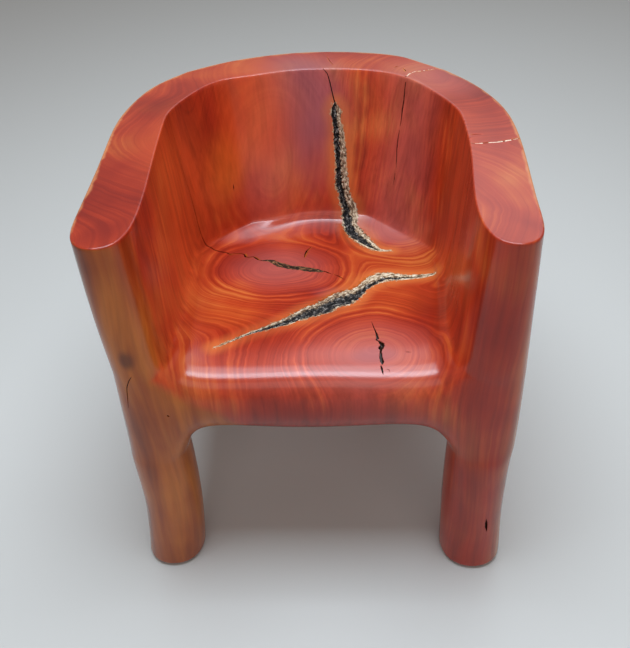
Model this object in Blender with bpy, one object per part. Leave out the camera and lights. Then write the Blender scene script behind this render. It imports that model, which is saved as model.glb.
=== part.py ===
"""Tree trunk armchair, carved from one log.

Metres, +Z up, front facing -Y, origin on the floor under its middle.
"""

import math

import bmesh
import bpy
from mathutils import Vector
from mathutils.bvhtree import BVHTree

for old in list(bpy.data.objects):
    bpy.data.objects.remove(old)

# Trunk: the outside of the log, seen from above
HEIGHT = 0.700
HALF_WIDTH = 0.324
HALF_DEPTH = 0.328
# Outline along each arm and across the back, as shares of half width and half depth
LEFT_SIDE_SHARES = [(-0.969, -0.686), (-0.985, -0.274), (-1.0, 0.091), (-0.963, 0.351), (-0.886, 0.555)]
RIGHT_SIDE_SHARES = [(0.967, -0.686), (0.997, -0.274), (1.0, 0.091), (0.948, 0.335), (0.861, 0.524)]
BACK_SHARES = [
    (-0.741, 0.732),
    (-0.608, 0.829),
    (-0.463, 0.905),
    (-0.170, 0.992),
    (0.170, 1.0),
    (0.463, 0.933),
    (0.614, 0.817),
    (0.741, 0.692),
]

# Wall that makes the arms and the back, with the shares of its thickness from an arm to the middle of the back
WALL = 0.084
WALL_SHARES = [1.0, 0.96, 0.94, 0.93, 0.90, 1.0, 1.02]
NOSE_SETBACK = 0.014
NOSE_INSET = 0.015
# How far the inner face comes in between the rim and the seat, and the shares of the back's lean
ARM_LEAN = 0.018
BACK_LEAN = 0.056
LEAN_SHARES = [0.0, 0.0, 0.1, 0.4, 0.95, 1.03, 1.0]
RIM_CHAMFER = 0.0015
# How far the log narrows on its left side and swells on its right below the rim, with the shares of each from
# the front to the back
LEFT_TAPER = 0.0165
TAPER_SHARES = [1.0, 1.0, 0.7, 0.4, 0.2, 0.1, 0.0]
RIGHT_SWELL = 0.0055
SWELL_SHARES = [1.0, 1.0, 0.6, 0.2, 0.0, 0.0, 0.0]

# Seat: dished slab with a round front edge
SEAT_FRONT_Z = 0.441
SEAT_MIDDLE_Z = 0.422
SEAT_REAR_Z = 0.402
SEAT_FILLET = 0.046
SLAB = 0.109
EDGE_SETBACK = 0.022
EDGE_BEND = 0.012
# The same under the arms and the back: how far the rounded bottom edge goes in and up
UNDER_BEND = 0.016
UNDER_RISE = 0.016
# How far up the wall, from the seat to the rim, its middle ring of points lies
WALL_MIDDLE_SHARE = 0.586

# Legs: plumb below the arms and the back corners, widening into the slab, the front ones with a slight waist.
# Each centre lies this far in from the trunk's widest, foremost or rearmost place
LEG_TOP_Z = 0.258
LEG_MIDDLE_Z = 0.140
LEFT_LEG_FROM_SIDE = 0.0625
LEFT_LEG_FROM_FRONT = 0.053
LEFT_LEG_RADIUS = 0.0503
LEFT_LEG_WAIST = 0.0013
LEFT_LEG_BEND = 0.0098
LEG_TOP_BEND_SHARE = 0.78
RIGHT_LEG_FROM_SIDE = 0.055
RIGHT_LEG_FROM_FRONT = 0.051
RIGHT_LEG_RADIUS = 0.054
RIGHT_LEG_WAIST = 0.0015
RIGHT_LEG_BEND = 0.005
BACK_LEG_FROM_SIDE = 0.126
BACK_LEG_FROM_REAR = 0.126
BACK_LEG_RADIUS = 0.053
BACK_LEG_FLARE = 0.003
FRONT_ARCH_FLARE = 0.009
BACK_ARCH_FLARE = 0.022
ARCH_SPRING = 0.030
# Where an arch springs, the outside has gone this share of the way from the trunk's outline to the leg's
SPRING_SHARE = 0.55
FOOT_ROUND = 0.006

# Glides: felt discs stuck under the feet
GLIDE_RADIUS = 0.034
GLIDE_THICKNESS = 0.003

# Clearance between pieces that touch, and how far a cutter runs past what it cuts
FIT_GAP = 0.0003
OVERRUN = 0.006

# Bark grown into the seat: places as shares of half width and half depth, then the share of its half width
SEAT_BARK_HALF_WIDTH = 0.021
SEAT_BARK_DEPTH = 0.016
SEAT_BARK_SHARES = [
    (-0.480, -0.713, 0.05),
    (-0.360, -0.619, 0.17),
    (-0.258, -0.558, 0.25),
    (-0.159, -0.500, 0.45),
    (-0.057, -0.430, 0.72),
    (0.048, -0.369, 0.90),
    (0.140, -0.287, 1.00),
    (0.207, -0.238, 0.70),
    (0.248, -0.180, 0.45),
    (0.313, -0.101, 0.65),
    (0.387, -0.067, 0.68),
    (0.483, -0.079, 0.38),
    (0.634, -0.070, 0.28),
]

# Bark grown into the back: across as shares of half width, up as shares of the back's height, then the same
BACK_BARK_HALF_WIDTH = 0.016
BACK_BARK_DEPTH = 0.018
BACK_BARK_SHARES = [
    (0.104, 0.790, 0.15),
    (0.115, 0.728, 0.68),
    (0.119, 0.678, 0.48),
    (0.131, 0.560, 0.66),
    (0.135, 0.440, 0.75),
    (0.138, 0.360, 0.58),
    (0.146, 0.260, 0.85),
    (0.160, 0.160, 0.85),
]
# Its foot, which bends forward over the seat: shares of half width, then how far in front of the back it lies,
# as shares of the fillet between them
BACK_BARK_FOOT_SHARES = [
    (0.190, 0.52, 0.96),
    (0.238, 1.38, 1.00),
    (0.331, 2.27, 0.60),
    (0.400, 2.60, 0.12),
]

# Brown bark in the crack that comes in from the left, as for the seat's bark
SIDE_BARK_HALF_WIDTH = 0.008
SIDE_BARK_DEPTH = 0.009
SIDE_BARK_SHARES = [
    (-0.310, 0.110, 0.2),
    (-0.261, 0.107, 0.6),
    (-0.218, 0.064, 1.0),
    (-0.156, 0.030, 0.8),
    (-0.045, 0.006, 1.0),
    (0.001, -0.006, 0.75),
    (0.038, -0.024, 0.45),
    (0.115, -0.070, 0.2),
]

# Filler in the two cracks across the rim, as shares of half width and half depth
FILLER_HALF_WIDTH = 0.0016
FILLER_DEPTH = 0.006
ARM_CRACK_SHARES = [(0.775, -0.168, 0.6), (0.850, -0.174, 1.0), (0.920, -0.168, 1.0), (0.970, -0.158, 0.6)]
RIM_CRACK_SHARES = [(0.543, 0.655, 0.6), (0.600, 0.690, 1.0), (0.660, 0.705, 0.6)]

# Every split is deepest where it is widest
SHALLOW_SHARE = 0.4

# Grid of the log seen from above, lines 0 to 7 across and 0 to 6 from the front to the back, and its heights
COLUMNS = 7
ROWS = 6
FOOT, LEG_MIDDLE, LEG_TOP, UNDERSIDE, SEAT, FILLET, WALL_MIDDLE, RIM = range(8)
# A closed curve through four corners runs a little flatter between them
CORNER_SHARE = 1.015
PULLS = 30
# Behind the front legs, the bottom edge and the tops of the legs are left softer
SOFT_PULLS = 2
# A face counts as flat where its normal is this near to upright
FLAT_SHARE = 0.99
GLIDE_SIDES = 32
foot_z = GLIDE_THICKNESS + FIT_GAP
underside_z = SEAT_FRONT_Z - SLAB
back_y = HALF_DEPTH - WALL - BACK_LEAN
wall_middle_z = SEAT_MIDDLE_Z + (HEIGHT - SEAT_MIDDLE_Z) * WALL_MIDDLE_SHARE
seat_z = [
    SEAT_FRONT_Z - EDGE_BEND,
    SEAT_FRONT_Z,
    SEAT_MIDDLE_Z,
    (SEAT_MIDDLE_Z + SEAT_REAR_Z) / 2,
    SEAT_REAR_Z,
    SEAT_REAR_Z,
    SEAT_REAR_Z,
]

# Outline from the left arm round to the right arm, with the way out of the log at each of its points
outline_shares = LEFT_SIDE_SHARES + BACK_SHARES + RIGHT_SIDE_SHARES[::-1]
outline = [Vector((x * HALF_WIDTH, y * HALF_DEPTH)) for x, y in outline_shares]
outer_ring = [(0, row) for row in range(1, ROWS)]
outer_ring += [(column, ROWS) for column in range(COLUMNS + 1)]
outer_ring += [(COLUMNS, row) for row in range(ROWS - 1, 0, -1)]
rim_plan = dict(zip(outer_ring, outline))
way_out = {}
for number, place in enumerate(outer_ring):
    along = outline[min(number + 1, len(outline) - 1)] - outline[max(number - 1, 0)]
    way_out[place] = Vector((-along.y, along.x)).normalized()

# Inner face: each point lies one wall inside the outline point beside it
lean = {}
for left in (True, False):
    outside = [(0, 1), (0, 2), (0, 3), (0, 4), (0, 6), (2, 6), (3, 6)]
    inside = [(1, 1), (1, 2), (1, 3), (1, 4), (1, 5), (2, 5), (3, 5)]
    for beyond, place, wall_share, lean_share in zip(outside, inside, WALL_SHARES, LEAN_SHARES):
        if not left:
            beyond = (COLUMNS - beyond[0], beyond[1])
            place = (COLUMNS - place[0], place[1])
        way_out[place] = way_out[beyond]
        rim_plan[place] = rim_plan[beyond] - way_out[beyond] * WALL * wall_share
        lean[place] = ARM_LEAN + (BACK_LEAN - ARM_LEAN) * lean_share

# Round front of each arm
front_y = -HALF_DEPTH + NOSE_SETBACK
for outer, inner, side in ((0, 1, -1), (COLUMNS, COLUMNS - 1, 1)):
    rim_plan[outer, 0] = Vector((rim_plan[outer, 1].x - side * NOSE_INSET, front_y))
    rim_plan[inner, 0] = Vector((rim_plan[inner, 1].x + side * NOSE_INSET, front_y))
    way_out[outer, 0] = way_out[outer, 1]
    way_out[inner, 0] = way_out[inner, 1]
    lean[inner, 0] = ARM_LEAN

# Legs: the centres and radii of each at the foot, the middle and the top, for the four grid points around it
plumb = Vector((0, 0))
left_bend = Vector((LEFT_LEG_BEND, 0))
right_bend = Vector((-RIGHT_LEG_BEND, 0))
left_waist = LEFT_LEG_RADIUS - LEFT_LEG_WAIST
right_waist = RIGHT_LEG_RADIUS - RIGHT_LEG_WAIST
left_radii = (LEFT_LEG_RADIUS, left_waist, left_waist)
right_radii = (RIGHT_LEG_RADIUS, right_waist, right_waist)
back_radii = (BACK_LEG_RADIUS, BACK_LEG_RADIUS, BACK_LEG_RADIUS + BACK_LEG_FLARE)
inwards = Vector((1, -1)).normalized() * BACK_LEG_FLARE
left_foot = (LEFT_LEG_FROM_SIDE - HALF_WIDTH, LEFT_LEG_FROM_FRONT - HALF_DEPTH)
right_foot = (HALF_WIDTH - RIGHT_LEG_FROM_SIDE, RIGHT_LEG_FROM_FRONT - HALF_DEPTH)
back_foot_x = HALF_WIDTH - BACK_LEG_FROM_SIDE
back_foot_y = HALF_DEPTH - BACK_LEG_FROM_REAR
legs = {}
for column, row, foot, shifts, radii in (
    (0, 0, left_foot, (plumb, left_bend, left_bend * LEG_TOP_BEND_SHARE), left_radii),
    (1, 0, right_foot, (plumb, right_bend, right_bend * LEG_TOP_BEND_SHARE), right_radii),
    (0, 1, (-back_foot_x, back_foot_y), (plumb, plumb, inwards), back_radii),
    (1, 1, (back_foot_x, back_foot_y), (plumb, plumb, inwards * Vector((-1, 1))), back_radii),
):
    centres = [Vector(foot) + shift for shift in shifts]
    for right in (0, 1):
        for behind in (0, 1):
            corner = Vector((2 * right - 1, 2 * behind - 1)).normalized() * CORNER_SHARE
            place = (column * (COLUMNS - 1) + right, row * (ROWS - 1) + behind)
            legs[place] = (centres, corner, radii)


def wall_plan(place, z):
    """Place on the wall at this height: the inner face and the log's left side come in, its right side swells."""
    drop = (HEIGHT - z) / (HEIGHT - SEAT_MIDDLE_Z)
    if place in lean:
        return rim_plan[place] - way_out[place] * lean[place] * drop
    if place[0] == 0:
        inwards = min((HEIGHT - z) / (HEIGHT - underside_z), 1)
        inwards *= inwards * (3 - 2 * inwards) * LEFT_TAPER * TAPER_SHARES[place[1]]
        return rim_plan[place] - way_out[place] * inwards
    if place[0] == COLUMNS:
        return rim_plan[place] + way_out[place] * RIGHT_SWELL * SWELL_SHARES[place[1]] * min(drop, 1)
    return rim_plan[place]


def slab_plan(column, row):
    """Place on the slab, seen from above."""
    if (column, row) in rim_plan:
        return wall_plan((column, row), SEAT_REAR_Z + SEAT_FILLET)
    if row == ROWS - 2:
        behind = {2: (1, ROWS - 1), COLUMNS - 2: (COLUMNS - 1, ROWS - 1)}.get(column, (column, ROWS - 1))
        return slab_plan(*behind) - way_out[behind] * SEAT_FILLET
    near = slab_plan(1, max(row, 1)) + Vector((SEAT_FILLET, 0))
    far = slab_plan(COLUMNS - 1, max(row, 1)) - Vector((SEAT_FILLET, 0))
    point = near.lerp(far, (column - 2) / (COLUMNS - 4))
    if row == 0:
        point.y = -HALF_DEPTH + EDGE_SETBACK
    return point


def grid_place(height, column, row):
    """Where the carved surface passes at this point of the grid."""
    place = (column, row)
    on_rim = (place in rim_plan) and (place not in lean)
    if height <= LEG_TOP:
        centres, corner, radii = legs[place]
        z = (foot_z, LEG_MIDDLE_Z, LEG_TOP_Z)[height]
        return (centres[height] + corner * radii[height]).to_3d() + Vector((0, 0, z))
    if height == UNDERSIDE:
        point = wall_plan(place, underside_z) if on_rim else slab_plan(column, row)
        z = underside_z
        if place in legs:
            z -= ARCH_SPRING
            centres, corner, radii = legs[place]
            if place in lean:
                flare = FRONT_ARCH_FLARE if row < 2 else BACK_ARCH_FLARE
                point = centres[LEG_TOP] + corner * (radii[LEG_MIDDLE] + flare)
                point.y = max(point.y, front_y)
            else:
                point = point.lerp(centres[LEG_TOP] + corner * radii[LEG_TOP], SPRING_SHARE)
        elif on_rim:
            point = point - way_out[place] * UNDER_BEND
            z += UNDER_RISE
        elif row == 0:
            z += EDGE_BEND
        return point.to_3d() + Vector((0, 0, z))
    if height == SEAT:
        point = slab_plan(column, row)
        z = seat_z[row]
        if place in lean:
            bend = SEAT_FILLET * (1 - math.cos(math.pi / 4))
            point = point - way_out[place] * bend
            z += bend
        return point.to_3d() + Vector((0, 0, z))
    z = {FILLET: seat_z[row] + SEAT_FILLET, WALL_MIDDLE: wall_middle_z, RIM: HEIGHT}[height]
    return wall_plan(place, z).to_3d() + Vector((0, 0, z))


def is_wall(face, marks):
    """Whether this face of the grid lies under an arm or the back."""
    columns = {vert[marks["column"]] for vert in face.verts}
    rows = {vert[marks["row"]] for vert in face.verts}
    return 0 in columns or COLUMNS in columns or ROWS in rows


def is_leg(face, marks):
    """Whether this face of the grid lies over a leg."""
    columns = {vert[marks["column"]] for vert in face.verts}
    rows = {vert[marks["row"]] for vert in face.verts}
    return (0 in columns or COLUMNS in columns) and (0 in rows or ROWS in rows)


def carry(mesh, faces, height, marks):
    """Extrude these faces of the grid to this height."""
    region = set(faces)
    for face in faces:
        region.update(face.edges)
        region.update(face.verts)
    grown = bmesh.ops.extrude_face_region(mesh, geom=list(region))["geom"]
    for vert in grown:
        if isinstance(vert, bmesh.types.BMVert):
            vert[marks["height"]] = height
            vert.co = grid_place(height, vert[marks["column"]], vert[marks["row"]])
    return [face for face in grown if isinstance(face, bmesh.types.BMFace)]


# Cage of the trunk: the grid at the underside, carried up to the seat and the rim and down to the feet
cage_mesh = bmesh.new()
marks = {name: cage_mesh.verts.layers.int.new(name) for name in ("column", "row", "height")}
bmesh.ops.create_grid(cage_mesh, x_segments=COLUMNS, y_segments=ROWS, size=HALF_WIDTH)
for vert in cage_mesh.verts:
    vert[marks["column"]] = round((vert.co.x / HALF_WIDTH + 1) / 2 * COLUMNS)
    vert[marks["row"]] = round((vert.co.y / HALF_WIDTH + 1) / 2 * ROWS)
    vert[marks["height"]] = UNDERSIDE
    vert.co = grid_place(UNDERSIDE, vert[marks["column"]], vert[marks["row"]])
under = list(cage_mesh.faces)
seat_faces = carry(cage_mesh, under, SEAT, marks)
top = [face for face in seat_faces if is_wall(face, marks)]
for height in (FILLET, WALL_MIDDLE, RIM):
    top = carry(cage_mesh, top, height, marks)
bottom = [face for face in under if is_leg(face, marks)]
for height in (LEG_TOP, LEG_MIDDLE, FOOT):
    bottom = carry(cage_mesh, bottom, height, marks)
bmesh.ops.recalc_face_normals(cage_mesh, faces=cage_mesh.faces)
crease = cage_mesh.edges.layers.float.new("crease_edge")
for edge in cage_mesh.edges:
    flat = [{vert[marks["height"]] for vert in face.verts} in ({RIM}, {FOOT}) for face in edge.link_faces]
    edge[crease] = float(flat.count(True) == 1)
cage_data = bpy.data.meshes.new("cage")
cage_mesh.to_mesh(cage_data)
cage_mesh.free()
cage = bpy.data.objects.new("cage", cage_data)
bpy.context.collection.objects.link(cage)
smooth = cage.modifiers.new("smooth", "SUBSURF")
smooth.levels = 2
smooth.render_levels = 2

# The smoothed surface shrinks inside its cage, so the cage grows until the surface passes through each place
places = [vertex.co.copy() for vertex in cage_data.vertices]
rows = [mark.value for mark in cage_data.attributes["row"].data]
heights = [mark.value for mark in cage_data.attributes["height"].data]
pulls = [
    SOFT_PULLS if row > 1 and height in (LEG_TOP, UNDERSIDE) else PULLS
    for row, height in zip(rows, heights)
]
for turn in range(PULLS):
    graph = bpy.context.evaluated_depsgraph_get()
    surface = cage.evaluated_get(graph).data
    offs = [place - surface.vertices[number].co for number, place in enumerate(places)]
    for vertex, off, limit in zip(cage_data.vertices, offs, pulls):
        if turn < limit:
            vertex.co += off
    cage_data.update()
graph = bpy.context.evaluated_depsgraph_get()
trunk_mesh = bpy.data.meshes.new_from_object(cage.evaluated_get(graph))
trunk_mesh.name = "trunk"
bpy.data.objects.remove(cage)


def is_flat(face, level):
    """Whether this face of the trunk is level and lies at this height."""
    return abs(face.normal.z) > FLAT_SHARE and abs(face.calc_center_median().z - level) < FIT_GAP


# Small round on the feet and a fine chamfer on the rim, then the log's middle over the origin
carved = bmesh.new()
carved.from_mesh(trunk_mesh)
for level, offset, segments in ((foot_z, FOOT_ROUND, 2), (HEIGHT, RIM_CHAMFER, 1)):
    corners = []
    for edge in carved.edges:
        if [is_flat(face, level) for face in edge.link_faces].count(True) == 1:
            corners.append(edge)
    bmesh.ops.bevel(
        carved,
        geom=corners,
        offset=offset,
        segments=segments,
        profile=0.5,
        affect="EDGES",
        material=-1,
    )
spans = [[vert.co[axis] for vert in carved.verts] for axis in (0, 1)]
middle = Vector([(min(span) + max(span)) / 2 for span in spans]).to_3d()
bmesh.ops.translate(carved, verts=carved.verts, vec=-middle)
carved.to_mesh(trunk_mesh)
carved.free()
wood = BVHTree.FromPolygons(
    [vertex.co for vertex in trunk_mesh.vertices],
    [face.vertices for face in trunk_mesh.polygons],
)


def material(name, colour, roughness):
    made = bpy.data.materials.new(name)
    made.use_nodes = True
    shader = made.node_tree.nodes["Principled BSDF"]
    shader.inputs["Base Color"].default_value = (*colour, 1.0)
    shader.inputs["Roughness"].default_value = roughness
    shader.inputs["Metallic"].default_value = 0.0
    return made


def add(name, mesh, finish):
    """Put a mesh in the scene as one named piece, smooth but for its sharp edges."""
    if isinstance(mesh, bmesh.types.BMesh):
        data = bpy.data.meshes.new(name)
        mesh.to_mesh(data)
        mesh.free()
        mesh = data
    mesh.shade_smooth()
    mesh.set_sharp_from_angle(angle=math.radians(35))
    piece = bpy.data.objects.new(name, mesh)
    bpy.context.collection.objects.link(piece)
    if finish:
        mesh.materials.append(finish)
    return piece


def on_wood(shares):
    """Path over the seat or the rim: the place on the wood under each share, its way out and its width share."""
    path = []
    for across, along, width_share in shares:
        start = Vector((across * HALF_WIDTH, along * HALF_DEPTH, HEIGHT + OVERRUN)) - middle
        spot, normal, _, _ = wood.ray_cast(start, Vector((0, 0, -1)))
        path.append((spot, normal, width_share))
    return path


def on_back(shares):
    """Path down the inner face of the back: the place on the wood behind each share."""
    path = []
    for across, up, width_share in shares:
        z = SEAT_REAR_Z + up * (HEIGHT - SEAT_REAR_Z)
        spot, normal, _, _ = wood.ray_cast(Vector((across * HALF_WIDTH, 0, z)) - middle, Vector((0, 1, 0)))
        path.append((spot, normal, width_share))
    return path


def follow_wood(path):
    """The same path with one more place on the wood between each two, so that it bends with the surface."""
    bent = path[:1]
    for (spot, _, share), (next_spot, next_normal, next_share) in zip(path, path[1:]):
        between, normal, _, _ = wood.find_nearest((spot + next_spot) / 2)
        bent.append((between, normal, (share + next_share) / 2))
        bent.append((next_spot, next_normal, next_share))
    return bent


def bar(path, half_width, depth, gap):
    """Closed four-sided bar along a path, smaller than its split by the gap all round."""
    spots = [spot for spot, _, _ in path]
    last = len(path) - 1
    mesh = bmesh.new()
    face = None
    for number, (spot, normal, width_share) in enumerate(path):
        along = (spots[min(number + 1, last)] - spots[max(number - 1, 0)]).normalized()
        side = along.cross(normal).normalized()
        if number in (0, last):
            spot = spot + along * 2 * gap * (1 if number == 0 else -1)
        out = side * (half_width * width_share - gap)
        above = normal * OVERRUN
        below = normal * (gap - depth * (SHALLOW_SHARE + (1 - SHALLOW_SHARE) * width_share))
        section = [spot + out + above, spot - out + above, spot - out + below, spot + out + below]
        if face is None:
            face = mesh.faces.new([mesh.verts.new(corner) for corner in section])
            continue
        grown = bmesh.ops.extrude_face_region(mesh, geom=[face, *face.edges, *face.verts])["geom"]
        face = next(item for item in grown if isinstance(item, bmesh.types.BMFace))
        for vert, corner in zip(face.verts, section):
            vert.co = corner
    bmesh.ops.recalc_face_normals(mesh, faces=mesh.faces)
    bmesh.ops.triangulate(mesh, faces=mesh.faces, quad_method="FIXED")
    return mesh


def add_guide(name, mesh):
    guide = add(name, mesh, None)
    guide.hide_render = True
    guide.display_type = "WIRE"
    return guide


def boolean(piece, operation, other):
    cut = piece.modifiers.new(other.name, "BOOLEAN")
    cut.operation = operation
    cut.object = other


def fill_split(name, path, half_width, depth, finish):
    """Cut a split into the trunk along a path and set its bark or filler in it, flush with the wood."""
    path = follow_wood(path)
    boolean(trunk, "DIFFERENCE", add_guide(name + "_split", bar(path, half_width, depth, 0)))
    boolean(add(name, bar(path, half_width, depth, FIT_GAP), finish), "INTERSECT", uncut)


# Trunk, then the bark and filler that lie in its splits
trunk = add("trunk", trunk_mesh, material("varnished_red_hardwood", (0.42, 0.10, 0.045), 0.22))
grey_bark = material("grey_bark", (0.16, 0.13, 0.10), 0.9)
brown_bark = material("brown_bark", (0.13, 0.06, 0.03), 0.85)
filler = material("pale_filler", (0.62, 0.50, 0.36), 0.6)
uncut = add_guide("uncut_trunk", trunk_mesh.copy())
back_path = on_back(BACK_BARK_SHARES)
back_path += on_wood(
    [
        (across, (back_y - forward * SEAT_FILLET) / HALF_DEPTH, width_share)
        for across, forward, width_share in BACK_BARK_FOOT_SHARES
    ]
)
fill_split("seat_bark_seam", on_wood(SEAT_BARK_SHARES), SEAT_BARK_HALF_WIDTH, SEAT_BARK_DEPTH, grey_bark)
fill_split("back_bark_seam", back_path, BACK_BARK_HALF_WIDTH, BACK_BARK_DEPTH, grey_bark)
fill_split("side_bark_seam", on_wood(SIDE_BARK_SHARES), SIDE_BARK_HALF_WIDTH, SIDE_BARK_DEPTH, brown_bark)
fill_split("arm_crack_filler", on_wood(ARM_CRACK_SHARES), FILLER_HALF_WIDTH, FILLER_DEPTH, filler)
fill_split("rim_crack_filler", on_wood(RIM_CRACK_SHARES), FILLER_HALF_WIDTH, FILLER_DEPTH, filler)

# Felt glides, one under each foot
felt = material("brown_felt", (0.09, 0.06, 0.045), 0.95)
feet = {
    "front_left": (0, 0),
    "front_right": (COLUMNS, 0),
    "back_left": (0, ROWS),
    "back_right": (COLUMNS, ROWS),
}
for name, place in feet.items():
    disc = bmesh.new()
    bmesh.ops.create_cone(
        disc,
        cap_ends=True,
        segments=GLIDE_SIDES,
        radius1=GLIDE_RADIUS,
        radius2=GLIDE_RADIUS,
        depth=GLIDE_THICKNESS,
    )
    bmesh.ops.translate(disc, verts=disc.verts, vec=(0, 0, GLIDE_THICKNESS / 2))
    glide = add("felt_glide_" + name, disc, felt)
    glide.location = legs[place][0][FOOT].to_3d() - middle
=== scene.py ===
"""Tree trunk armchair: the carved and varnished log, its ingrown bark, its cracks and its felt glides."""

import math

import bmesh
import bpy
import numpy as np
from mathutils import Matrix, Vector, noise
from mathutils.bvhtree import BVHTree

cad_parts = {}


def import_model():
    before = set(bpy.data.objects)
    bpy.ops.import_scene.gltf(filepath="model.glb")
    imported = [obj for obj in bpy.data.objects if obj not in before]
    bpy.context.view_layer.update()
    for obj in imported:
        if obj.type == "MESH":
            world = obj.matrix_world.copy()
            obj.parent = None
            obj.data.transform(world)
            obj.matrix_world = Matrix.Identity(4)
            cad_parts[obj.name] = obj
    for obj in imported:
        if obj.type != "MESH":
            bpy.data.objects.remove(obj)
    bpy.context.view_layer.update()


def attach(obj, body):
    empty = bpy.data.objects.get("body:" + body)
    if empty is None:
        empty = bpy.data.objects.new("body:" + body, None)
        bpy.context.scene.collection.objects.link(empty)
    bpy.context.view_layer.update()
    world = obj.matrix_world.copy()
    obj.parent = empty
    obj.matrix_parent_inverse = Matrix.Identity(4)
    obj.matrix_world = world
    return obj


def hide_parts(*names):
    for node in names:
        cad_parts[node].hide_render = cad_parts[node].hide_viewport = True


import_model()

# Trunk
# One red hardwood log, two stems grown together, hollowed above the seat and cut away below it
# until only the arms, the back, the seat slab and four legs are left. Sanded and varnished.

HEIGHT = 0.700
HALF_WIDTH = 0.324
HALF_DEPTH = 0.328
LEFT_SIDE_SHARES = [(-0.969, -0.686), (-0.985, -0.274), (-1.0, 0.091), (-0.963, 0.351), (-0.886, 0.555)]
RIGHT_SIDE_SHARES = [(0.967, -0.686), (0.997, -0.274), (1.0, 0.091), (0.948, 0.335), (0.861, 0.524)]
BACK_SHARES = [
    (-0.741, 0.732),
    (-0.608, 0.829),
    (-0.463, 0.905),
    (-0.170, 0.992),
    (0.170, 1.0),
    (0.463, 0.933),
    (0.614, 0.817),
    (0.741, 0.692),
]
WALL = 0.084
WALL_SHARES = [1.0, 0.96, 0.94, 0.93, 0.90, 1.0, 1.02]
NOSE_SETBACK = 0.014
NOSE_INSET = 0.015
ARM_LEAN = 0.018
BACK_LEAN = 0.056
LEAN_SHARES = [0.0, 0.0, 0.1, 0.4, 0.95, 1.03, 1.0]
RIM_ROUND = 0.0022
LEFT_TAPER = 0.0165
TAPER_SHARES = [1.0, 1.0, 0.7, 0.4, 0.2, 0.1, 0.0]
RIGHT_SWELL = 0.0055
SWELL_SHARES = [1.0, 1.0, 0.6, 0.2, 0.0, 0.0, 0.0]
SEAT_FRONT_Z = 0.441
SEAT_MIDDLE_Z = 0.422
SEAT_REAR_Z = 0.402
SEAT_FILLET = 0.046
SLAB = 0.109
EDGE_SETBACK = 0.022
EDGE_BEND = 0.012
UNDER_BEND = 0.016
UNDER_RISE = 0.016
WALL_MIDDLE_SHARE = 0.586
LEG_TOP_Z = 0.258
LEG_MIDDLE_Z = 0.140
LEFT_LEG_FROM_SIDE = 0.0625
LEFT_LEG_FROM_FRONT = 0.053
LEFT_LEG_RADIUS = 0.0503
LEFT_LEG_WAIST = 0.0013
LEFT_LEG_BEND = 0.0098
LEG_TOP_BEND_SHARE = 0.78
RIGHT_LEG_FROM_SIDE = 0.055
RIGHT_LEG_FROM_FRONT = 0.051
RIGHT_LEG_RADIUS = 0.054
RIGHT_LEG_WAIST = 0.0015
RIGHT_LEG_BEND = 0.005
BACK_LEG_FROM_SIDE = 0.126
BACK_LEG_FROM_REAR = 0.126
BACK_LEG_RADIUS = 0.053
BACK_LEG_FLARE = 0.003
FRONT_ARCH_FLARE = 0.009
BACK_ARCH_FLARE = 0.022
ARCH_SPRING = 0.030
SPRING_SHARE = 0.55
FOOT_ROUND = 0.006
GLIDE_THICKNESS = 0.003
FIT_GAP = 0.0003
COLUMNS = 7
ROWS = 6
FOOT, LEG_MIDDLE, LEG_TOP, UNDERSIDE, SEAT, FILLET, WALL_MIDDLE, RIM = range(8)
CORNER_SHARE = 1.015
PULLS = 30
SOFT_PULLS = 2
CAGE_LEVELS = 2
WOOD_LEVELS = 4
ROUND_SEGMENTS = 3
FLAT_SHARE = 0.99
# The operators leave edges and faces in an order that changes from run to run, so they are sorted:
# more than the vertices of any mesh here, and a slanting way on which no two vertices are level
MANY = 100000
SLANT = (1.0, 1.2345678, 1.7654321)

foot_z = GLIDE_THICKNESS + FIT_GAP
underside_z = SEAT_FRONT_Z - SLAB
wall_middle_z = SEAT_MIDDLE_Z + (HEIGHT - SEAT_MIDDLE_Z) * WALL_MIDDLE_SHARE
seat_z = [
    SEAT_FRONT_Z - EDGE_BEND,
    SEAT_FRONT_Z,
    SEAT_MIDDLE_Z,
    (SEAT_MIDDLE_Z + SEAT_REAR_Z) / 2,
    SEAT_REAR_Z,
    SEAT_REAR_Z,
    SEAT_REAR_Z,
]

# Outline from the left arm round to the right arm, with the way out of the log at each point
outline_shares = LEFT_SIDE_SHARES + BACK_SHARES + RIGHT_SIDE_SHARES[::-1]
outline = [Vector((x * HALF_WIDTH, y * HALF_DEPTH)) for x, y in outline_shares]
outer_ring = [(0, row) for row in range(1, ROWS)]
outer_ring += [(column, ROWS) for column in range(COLUMNS + 1)]
outer_ring += [(COLUMNS, row) for row in range(ROWS - 1, 0, -1)]
rim_plan = dict(zip(outer_ring, outline))
way_out = {}
for number, place in enumerate(outer_ring):
    along = outline[min(number + 1, len(outline) - 1)] - outline[max(number - 1, 0)]
    way_out[place] = Vector((-along.y, along.x)).normalized()

# Inner face: each point lies one wall inside the outline point beside it
lean = {}
for left in (True, False):
    outside = [(0, 1), (0, 2), (0, 3), (0, 4), (0, 6), (2, 6), (3, 6)]
    inside = [(1, 1), (1, 2), (1, 3), (1, 4), (1, 5), (2, 5), (3, 5)]
    for beyond, place, wall_share, lean_share in zip(outside, inside, WALL_SHARES, LEAN_SHARES):
        if not left:
            beyond = (COLUMNS - beyond[0], beyond[1])
            place = (COLUMNS - place[0], place[1])
        way_out[place] = way_out[beyond]
        rim_plan[place] = rim_plan[beyond] - way_out[beyond] * WALL * wall_share
        lean[place] = ARM_LEAN + (BACK_LEAN - ARM_LEAN) * lean_share

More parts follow.
